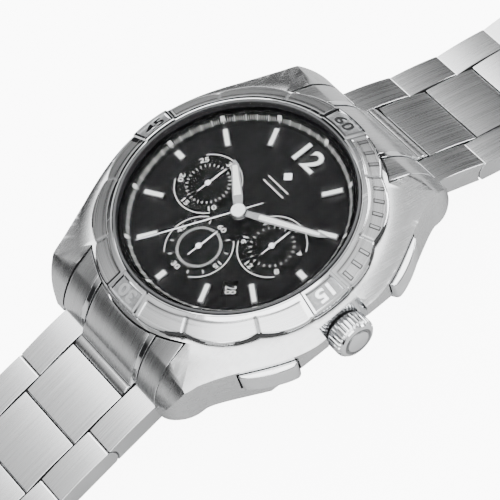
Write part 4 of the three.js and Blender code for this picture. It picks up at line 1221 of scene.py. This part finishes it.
def make_hand(node, pointing, at, sizes, lume, hub):
    length, width, tail = sizes
    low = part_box(node)[1].z / MM - 0.15
    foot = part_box(node)[0].z / MM
    radius, tube = hub
    hub_profile = [
        (0, foot),
        (tube, foot),
        (tube, low),
        (radius, low),
        (radius, low + 0.1),
        (radius - 0.08, low + 0.15),
        (0, low + 0.15),
    ]
    finish = "hand" if lume[1] else "needle"
    parts = [lathe("hub", hub_profile, [finish], 64)]
    parts += [placed(p, shift(z=low)) for p in hand_blade(length, width, tail, 0.13, finish, *lume)]
    whole = placed(merged("hand", parts), shift(*at) @ turn(-pointing))
    done(whole, node.replace("_hand", "_pointer"), node, [node], 25)


def make_hands():
    centre = (0.0, 0.0)
    make_hand("hour_hand", 304, centre, (8.9, 1.5, 0), (2.9, 7.9), (1.25, 1.0))
    make_hand("minute_hand", 63, centre, (13.7, 1.2, 0), (3.2, 12.4), (1.15, 0.65))
    make_hand("chronograph_seconds_hand", 206, centre, (14.9, 0.34, 3.6), (0, 0), (1.1, 0.25))
    for name, (angle, _, _) in SUBDIALS.items():
        at = clock(SUBDIAL_AT, angle)
        make_hand(name + "_hand", 0, at, (3.5, 0.42, 1.9), (0, 0), (0.5, 0.25))


# ------------------------------------------------------------------ Crown and pushers


def make_crown():
    """A fluted barrel with a domed, ringed face."""
    start, end = CROWN_FROM, CROWN_TO
    flutes, fine = 28, 8
    stations = [(start, 0.88), (start + 0.25, 0.97), (start + 0.5, 1.0), (end - 1.0, 1.0)]
    stations += [(end - 0.78, 0.985), (end - 0.62, 0.95)]
    rings = []
    for x, share in stations:
        ring = []
        for k in range(flutes * fine):
            a = 2 * math.pi * k / (flutes * fine)
            wave = (k % fine) / fine
            groove = max(0.0, 1 - abs(wave - 0.5) / 0.28)
            r = CROWN_R * share - 0.24 * groove * (1 if share > 0.9 else 0.5)
            ring.append((x, r * math.cos(a), CROWN_Z + r * math.sin(a)))
        rings.append(ring)
    barrel = loft("barrel", rings, ["polished", "satin_dark"])
    # Painted shade: the floors of the flutes take the darker steel.
    for polygon in barrel.data.polygons:
        middle = polygon.center / MM
        if math.hypot(middle.y, middle.z - CROWN_Z) < CROWN_R - 0.16 and middle.x < end - 0.9:
            polygon.material_index = 1
    # The ring groove in the face (kinds 1) takes the darker steel: painted shade in the groove.
    face = lathe_x(
        "face",
        [(0, end - 1.0), (2.7, end - 1.0), (2.78, end - 0.55), (2.66, end - 0.32), (2.2, end - 0.16)]
        + [(2.05, end - 0.3), (1.8, end - 0.3), (1.7, end - 0.1), (1.2, end - 0.03), (0, end)],
        CROWN_Z,
        ["polished", "satin_dark"],
        kinds=[0, 0, 0, 0, 1, 1, 1, 0, 0, 0],
    )
    done(merged("crown", [barrel, face]), "fluted_crown", "crown_and_stem", ["crown"], 24)


def make_pusher(node, side):
    """A rounded rectangular button on a round plunger."""
    inner = PUSHER_FACE - PUSHER_DEPTH
    half, end = PUSHER_HALF, PUSHER_FACE
    outline = [
        (inner, -half),
        (end - 0.95, -half),
        *bezier(
            (end - 0.55, -half + 0.3),
            (end + 0.12, -half / 2),
            (end + 0.12, half / 2),
            (end - 0.55, half - 0.3),
            16,
        ),
        (end - 0.95, half),
        (inner, half),
    ]
    heights = (PUSHER_Z - PUSHER_HALF_HEIGHT, PUSHER_Z + PUSHER_HALF_HEIGHT)
    cap = prism_z("cap", outline, *heights, POLISHED)
    eased(cap, 0.3, 1, 3, 30)
    tail = lathe_x("tail", rod(PLUNGER_R, PLUNGER_FROM, inner + 0.3), PUSHER_Z, ["spring"], 32)
    whole = placed(merged("pusher", [cap, tail]), turn(side * PUSHER_ANGLE))
    done(whole, node.replace("pusher", "button"), node, [node])


# ------------------------------------------------------------------ Bracelet


def angle_at(radius):
    return math.degrees(math.asin(HALF_THICK / radius))


def link_top(start, stop):
    places = [i / 10 for i in range(1, 10)]
    return [(start + (stop - start) * t, HALF_THICK + LINK_CROWN * 4 * t * (1 - t)) for t in places]


def outer_profile():
    near, far = angle_at(KNUCKLE_R), angle_at(KNUCKLE_R + KNUCKLE_GAP)
    first = arc(0, 0, KNUCKLE_R, 180 + near, 180 - near, 14)
    last = arc(PITCH, 0, KNUCKLE_R + KNUCKLE_GAP, 180 - far, 180 + far, 14)
    return first + link_top(first[-1][0], last[0][0]) + last


def centre_profile():
    near, far = angle_at(KNUCKLE_R + KNUCKLE_GAP), angle_at(KNUCKLE_R)
    first = arc(0, 0, KNUCKLE_R + KNUCKLE_GAP, -near, near, 14)
    last = arc(PITCH, 0, KNUCKLE_R, far, -far, 14)
    return first + link_top(first[-1][0], last[0][0]) + last


def arm_frames(label):
    """Each row's place: at its hinge pin, sloping down, with the 6 o'clock arm turned round."""
    side = 0 if label == "12" else 180
    frames = []
    for i, slope in enumerate(SLOPES[label]):
        pin = JOINTS[f"bracelet_{label}_hinge_{i + 1}"]["pos_m"]
        spot = Matrix.Translation(Vector(pin))
        frames.append(spot @ turn(side) @ turn(-slope, "X"))
    return frames


def pin_bar(at, half, radius, finish="spring"):
    """A round bar along X at (y, z), with eased ends."""
    y, z = at
    profile = [(0, -half), (radius - 0.08, -half), (radius, -half + 0.08), (radius, half - 0.08)]
    profile += [(radius - 0.08, half), (0, half)]
    return placed(lathe_x("pin", profile, 0, [finish], 24), shift(0, y, z))


def darken_sides(part):
    """Painted shade: near-black on the faces that sit against the next link, so the gaps between links
    read dark.
    """
    part.data.materials.append(M["outline_and_gap_shade"])
    for polygon in part.data.polygons:
        inner = abs(polygon.center.x) < (HALF_WIDTH - 0.1) * MM
        if abs(polygon.normal.x) > 0.9 and inner:
            polygon.material_index = len(part.data.materials) - 1


def link_masters():
    inner = CENTRE_HALF + KNUCKLE_GAP
    sides = []
    for x0, x1 in ((inner, HALF_WIDTH), (-HALF_WIDTH, -inner)):
        sides.append(eased(prism_x("side", outer_profile(), x0, x1, SATIN), 0.22, 1, 3, 30))
    pins = [pin_bar((y, 0), inner + 0.4, 0.5) for y in (0, FIXING_PIN)]
    for part in sides:
        darken_sides(part)
    outer = merged("outer_master", [*sides, *pins])
    middle = prism_x("middle", centre_profile(), -CENTRE_HALF, CENTRE_HALF, SATIN)
    centre = eased(middle, 0.6, 1, 3, 30)
    darken_sides(centre)
    centre.name = "centre_master"
    return outer, centre


def make_arm(label, masters):
    for i, spot in enumerate(arm_frames(label)):
        row = f"{label}_{i + 1}"
        for master, kind in zip(masters, ("outer", "centre")):
            link = placed(copy_of(master), spot)
            node = f"link_{kind}_{row}"
            done(link, f"{kind}_link_{row}", "row_" + row, [node])


def end_panel(name, half_from, half_to, lift, materials, finish_width=0.12):
    """A strip of the end link between two places across it, hollowed round the case."""
    crest = lug_crest(24, 0.1 - lift)
    rings = []
    stations = 15
    for k in range(stations):
        x = half_from + (half_to - half_from) * k / (stations - 1)
        start = math.sqrt((BODY_R + 0.2) ** 2 - x * x)
        kept = [(y, z) for y, z in crest if y > BODY_R + 0.3]
        first_z = CASE_TOP_Z - 0.1 + lift
        for (y0, z0), (y1, z1) in zip(crest, crest[1:]):
            if y0 <= start <= y1:
                first_z = z0 + (z1 - z0) * (start - y0) / (y1 - y0)
        line = [(start, 1.2), (start, first_z)] + kept + [(25.5, 0.9), (24.2, 0.1), (22.5, 0.0)]
        rings.append([(x, y, z) for y, z in line])
    return eased(loft(name, rings, materials), finish_width, 1, 3, 40)


def make_end_link(label):
    """Satin centre and side panels with a polished ridge between them, and the tongue."""
    pin_y, pin_z = 26.1, -0.8
    parts = [
        end_panel("middle", -5.6, 5.6, 0.0, SATIN),
        end_panel("side", 6.75, HALF_WIDTH, 0.0, SATIN),
        end_panel("side", -HALF_WIDTH, -6.75, 0.0, SATIN),
        end_panel("ridge", 5.75, 6.62, 0.25, POLISHED, 0.28),
        end_panel("ridge", -6.62, -5.75, 0.25, POLISHED, 0.28),
    ]
    rooms = []
    # Painted recess shade: the cuts round the knuckles take the darker steel.
    for start, stop in ((-BEYOND, -CENTRE_HALF), (CENTRE_HALF, BEYOND)):
        room = lathe_x("room", rod(KNUCKLE_R + KNUCKLE_GAP, start, stop), 0, ["satin_dark"])
        rooms.append(placed(room, shift(0, pin_y, pin_z)))
    for part in parts[1:]:
        combined(part, [copy_of(room) for room in rooms], "DIFFERENCE")
    dropped(*rooms)
    # The core under the panels is all darker steel: painted shade beneath the end link.
    under = [(y, z) for y, z in lug_crest(16, 1.1) if 21.4 < y < 25.1]
    core = [(21.4, 1.3), (21.4, under[0][1]), *under, (24.0, 0.6), (22.6, 0.3)]
    parts.append(prism_x("core", core, -6.8, 6.8, ["satin_dark"]))
    tongue = [
        (pin_y - 4.5, pin_z + 4),
        (pin_y - 1.5, 3.6),
        (pin_y - 0.5, 2.5),
        *arc(pin_y, pin_z, KNUCKLE_R, 86, -100, 24),
        (pin_y - 3.6, 0.0),
    ]
    tongue = prism_x("tongue", tongue, -CENTRE_HALF, CENTRE_HALF, SATIN)
    parts.append(eased(tongue, 0.4, 1, 3, 40))
    side = 0 if label == "12" else 180
    whole = placed(merged("end_link", parts), turn(side))
    done(whole, "end_piece_" + label, "head", ["end_link_" + label])


# ------------------------------------------------------------------ Clasp


def clasp_frame():
    pin = JOINTS["clasp_cover_hinge"]["pos_m"]
    return Matrix.Translation(Vector(pin)) @ turn(180) @ turn(-CLASP_SLOPE, "X")


def make_clasp():
    spot = clasp_frame()
    inner = CENTRE_HALF + KNUCKLE_GAP
    top, under, clear = 1.9, 1.0, 2.5
    near = angle_at(KNUCKLE_R)
    ear = [*arc(0, 0, KNUCKLE_R, 180 + near, 180 - near, 14), (clear + 1, top), (clear + 1, -HALF_THICK)]
    ears = [
        eased(prism_x("ear", ear, x0, x1, SATIN), 0.2, 1, 3, 30)
        for x0, x1 in ((inner, HALF_WIDTH), (-HALF_WIDTH, -inner))
    ]
    shell_outline = [
        (clear, -1.5),
        (clear, top),
        (CLASP_LENGTH - 1.5, top),
        (CLASP_LENGTH - 0.5, top - 0.08),
        (CLASP_LENGTH, top - 0.4),
        (CLASP_LENGTH, -1.3),
        (CLASP_LENGTH - 0.3, -1.5),
    ]
    # The cover's inside and slot walls take the darker steel: painted shade inside the cover.
    shell = prism_x("cover", shell_outline, -HALF_WIDTH, HALF_WIDTH, [*SATIN, "satin_dark"])
    wall = HALF_WIDTH - 1.1
    hollow = prism_x("hollow", oblong(-5, BEYOND, -5, under), -wall, wall, ["satin_dark"])
    slots = []
    for side in (1, -1):
        outline = oblong(RELEASE_AT - 2.65, RELEASE_AT + 2.65, -0.95, 0.95)
        ends = sorted((side * (wall - 2), side * BEYOND))
        slots.append(prism_x("slot", outline, *ends, ["satin_dark"]))
    combined(shell, [hollow, *slots], "DIFFERENCE")
    eased(shell, 0.2, 1, 3, 40)
    line = placed(marks(1, 0, 0.9, 20.6, 0.08, "polished", 0, 0), shift(0, 4.4, top - 0.01))
    parts = [*ears, shell, pin_bar((0, 0), inner + 0.4, 0.5), line]
    done(placed(merged("cover", parts), spot), "clasp_lid", "clasp_cover", ["clasp_cover"])

    far, mid, low_mid, near_y = CLASP_LENGTH - 2.2, -0.1, -1.15, 5.0
    wide, slim = 8.2, 5.0
    plate = prism_x("plate", oblong(near_y + 0.95, far, mid - 0.4, mid + 0.4), -wide, wide, SATIN)
    cutouts = []
    for y in (9.5, 13.5, 17.5):
        hole = lathe("hole", rod(0.9, -5, 5), ["polished"], 32)
        cutouts.append(placed(hole, shift(0, y)))
    combined(plate, cutouts, "DIFFERENCE")
    eased(plate, 0.12, 1, 2, 35)
    outer_parts = [plate, pin_bar((far, mid), 10.4, 0.4), pin_bar((far, mid), wide, 0.75, "polished")]
    for side in (1, -1):
        ends = sorted((side * (slim + 0.2), side * wide))
        lobe = arc(near_y, low_mid, 0.75, 90, 270, 12)
        lobe += [(near_y + 1.4, low_mid - 0.4), (near_y + 1.6, mid + 0.4), (near_y + 0.6, mid + 0.4)]
        outer_parts.append(eased(prism_x("lobe", lobe, *ends, POLISHED), 0.08, 1, 2, 35))
    whole = placed(merged("outer_blade", outer_parts), spot)
    done(whole, "blade_outer", "clasp_blade_outer", ["clasp_blade_outer"])

    end = far - 2.2
    strip = prism_x("strip", oblong(near_y, end, low_mid - 0.4, low_mid + 0.4), -slim, slim, SATIN)
    eased(strip, 0.12, 1, 2, 35)
    inner_parts = [strip, pin_bar((near_y, low_mid), 7.9, 0.4)]
    for y in (near_y, end):
        inner_parts.append(pin_bar((y, low_mid), slim, 0.65, "polished"))
    whole = placed(merged("inner_blade", inner_parts), spot)
    done(whole, "blade_inner", "clasp_blade_inner", ["clasp_blade_inner"])

    for name, side in (("left", 1), ("right", -1)):
        out, back = side * (HALF_WIDTH + 0.6), side * (HALF_WIDTH - 1.3)
        outline = oblong(RELEASE_AT - 2.4, RELEASE_AT + 2.4, -0.7, 0.7)
        button = prism_x("button", outline, *sorted((out, back)), POLISHED)
        eased(button, 0.18, 1, 3, 35)
        # Dark ribs across the button's face: painted shade in place of grip grooves.
        ends = sorted((out - side * 0.1, out))
        ribs = [
            prism_x("rib", oblong(y, y + 0.25, -0.5, 0.5), *ends, ["satin_dark"])
            for y in (RELEASE_AT + 0.6 * k for k in (-2, -1, 0, 1, 2))
        ]
        whole = placed(merged("button", [button, *ribs]), spot)
        node = "clasp_button_" + name
        done(whole, "clasp_release_" + name, node, [node])


# ------------------------------------------------------------------ Pieces inside the case

INSIDE = {
    "rubber": ("case_back_gasket",),
    "polymer": ("movement_holder",),
    "brass": ("movement_plate", "train_bridge"),
    "copper": ("motor_coil",),
    "cell": ("battery",),
    "spring": (
        *("bezel_click_spring", "setting_lever", "winding_stem", "crown_tube"),
        *("start_pusher_spring", "reset_pusher_spring", "spring_bar_12", "spring_bar_6"),
    ),
}


def dress_inside():
    for finish, nodes in INSIDE.items():
        for node in nodes:
            mesh = frame["nodes"][node].data
            mesh.materials.clear()
            mesh.materials.append(M[finish])


# ------------------------------------------------------------------ Studio

FLOOR_GLOW = 9.0
CAMERA_TURN = 68.770
CAMERA_RISE = 56.373
CAMERA_ROLL = -20.164
CAMERA_DISTANCE = 342.67
CAMERA_AIM = (1.406, -4.862)
CAMERA_LENS = 178.58


def make_camera():
    a, e, roll = (math.radians(v) for v in (CAMERA_TURN, CAMERA_RISE, CAMERA_ROLL))
    back = Vector((math.sin(a) * math.cos(e), -math.cos(a) * math.cos(e), math.sin(e)))
    right = Vector((math.cos(a), math.sin(a), 0))
    up = back.cross(right)
    across = right * math.cos(roll) + up * math.sin(roll)
    above = up * math.cos(roll) - right * math.sin(roll)
    aim = Vector((0, 0, DIAL_Z)) + across * CAMERA_AIM[0] + above * CAMERA_AIM[1]
    data = bpy.data.cameras.new("camera")
    data.lens = CAMERA_LENS
    data.sensor_width = 36
    data.clip_start = 0.01
    data.clip_end = 20
    camera = linked("camera", data)
    turned = Matrix((across, above, back)).transposed().to_4x4()
    camera.matrix_world = Matrix.Translation((aim + back * CAMERA_DISTANCE) * MM) @ turned
    bpy.context.scene.camera = camera


def soft_box(name, place, target, size, power):
    data = bpy.data.lights.new(name, "AREA")
    data.shape = "RECTANGLE"
    data.size, data.size_y = (MM * value for value in size)
    data.energy = power
    light = linked(name, data)
    light.location = Vector(place) * MM
    aim = Vector(target) * MM - light.location
    light.rotation_euler = aim.to_track_quat("-Z", "Y").to_euler()


def make_studio():
    low = CAD_BOX[0].z / MM - 0.05
    size = 6000
    outline = [(-size, -size), (size, -size), (size, size), (-size, size)]
    floor = prism_z("studio_floor", outline, low - 5, low, ["white"])
    material, w, shader, place = started("pale_floor")
    speck = w.noise(place, 40.0, 3.0)
    w.feed(shader.inputs["Base Color"], blended(w, speck, (0.42, 0.42, 0.42), (0.48, 0.48, 0.48)))
    w.feed(shader.inputs["Roughness"], w.stretch(speck, 0.3, 0.7, 0.6, 0.8))
    seen = w.put("ShaderNodeLightPath").outputs["Is Camera Ray"]
    w.feed(shader.inputs["Emission Color"], blended(w, seen, (0.0, 0.0, 0.0), (1.0, 1.0, 1.0)))
    shader.inputs["Emission Strength"].default_value = FLOOR_GLOW
    floor.data.materials[0] = material
    soft_box("key_light", (-310, 120, 500), (0, 0, 0), (520, 520), 4.0)
    soft_box("top_light", (180, -120, 700), (0, 0, 0), (620, 620), 5.5)
    soft_box("fill_light", (420, -380, 260), (0, 0, 0), (260, 260), 0.9)
    soft_box("rim_light", (60, 520, 180), (0, 20, 0), (320, 160), 1.6)
    world = bpy.data.worlds.new("studio_light")
    world.use_nodes = True
    tree = world.node_tree
    tree.nodes.clear()
    w = Wiring(tree)
    out = w.put("ShaderNodeOutputWorld")
    light = w.put("ShaderNodeBackground")
    tree.links.new(light.outputs[0], out.inputs[0])
    direction = w.put("ShaderNodeTexCoord").outputs["Generated"]
    apart = w.put("ShaderNodeSeparateXYZ", direction)
    height = w.stretch(apart.outputs[2], 0.3, 0.8)
    light.inputs["Strength"].default_value = 1.3
    w.feed(light.inputs["Color"], blended(w, height, (0.02, 0.02, 0.021), (1.0, 1.0, 1.0)))
    bpy.context.scene.world = world


make_case()
make_case_back()
make_bezel()
make_crystal()
make_flange()
make_dial()
make_date_ring()
make_hands()
make_crown()
make_pusher("start_pusher", 1)
make_pusher("reset_pusher", -1)
make_end_link("12")
make_end_link("6")
LINKS = link_masters()
make_arm("12", LINKS)
make_arm("6", LINKS)
dropped(*LINKS)
make_clasp()
dress_inside()
make_studio()
make_camera()
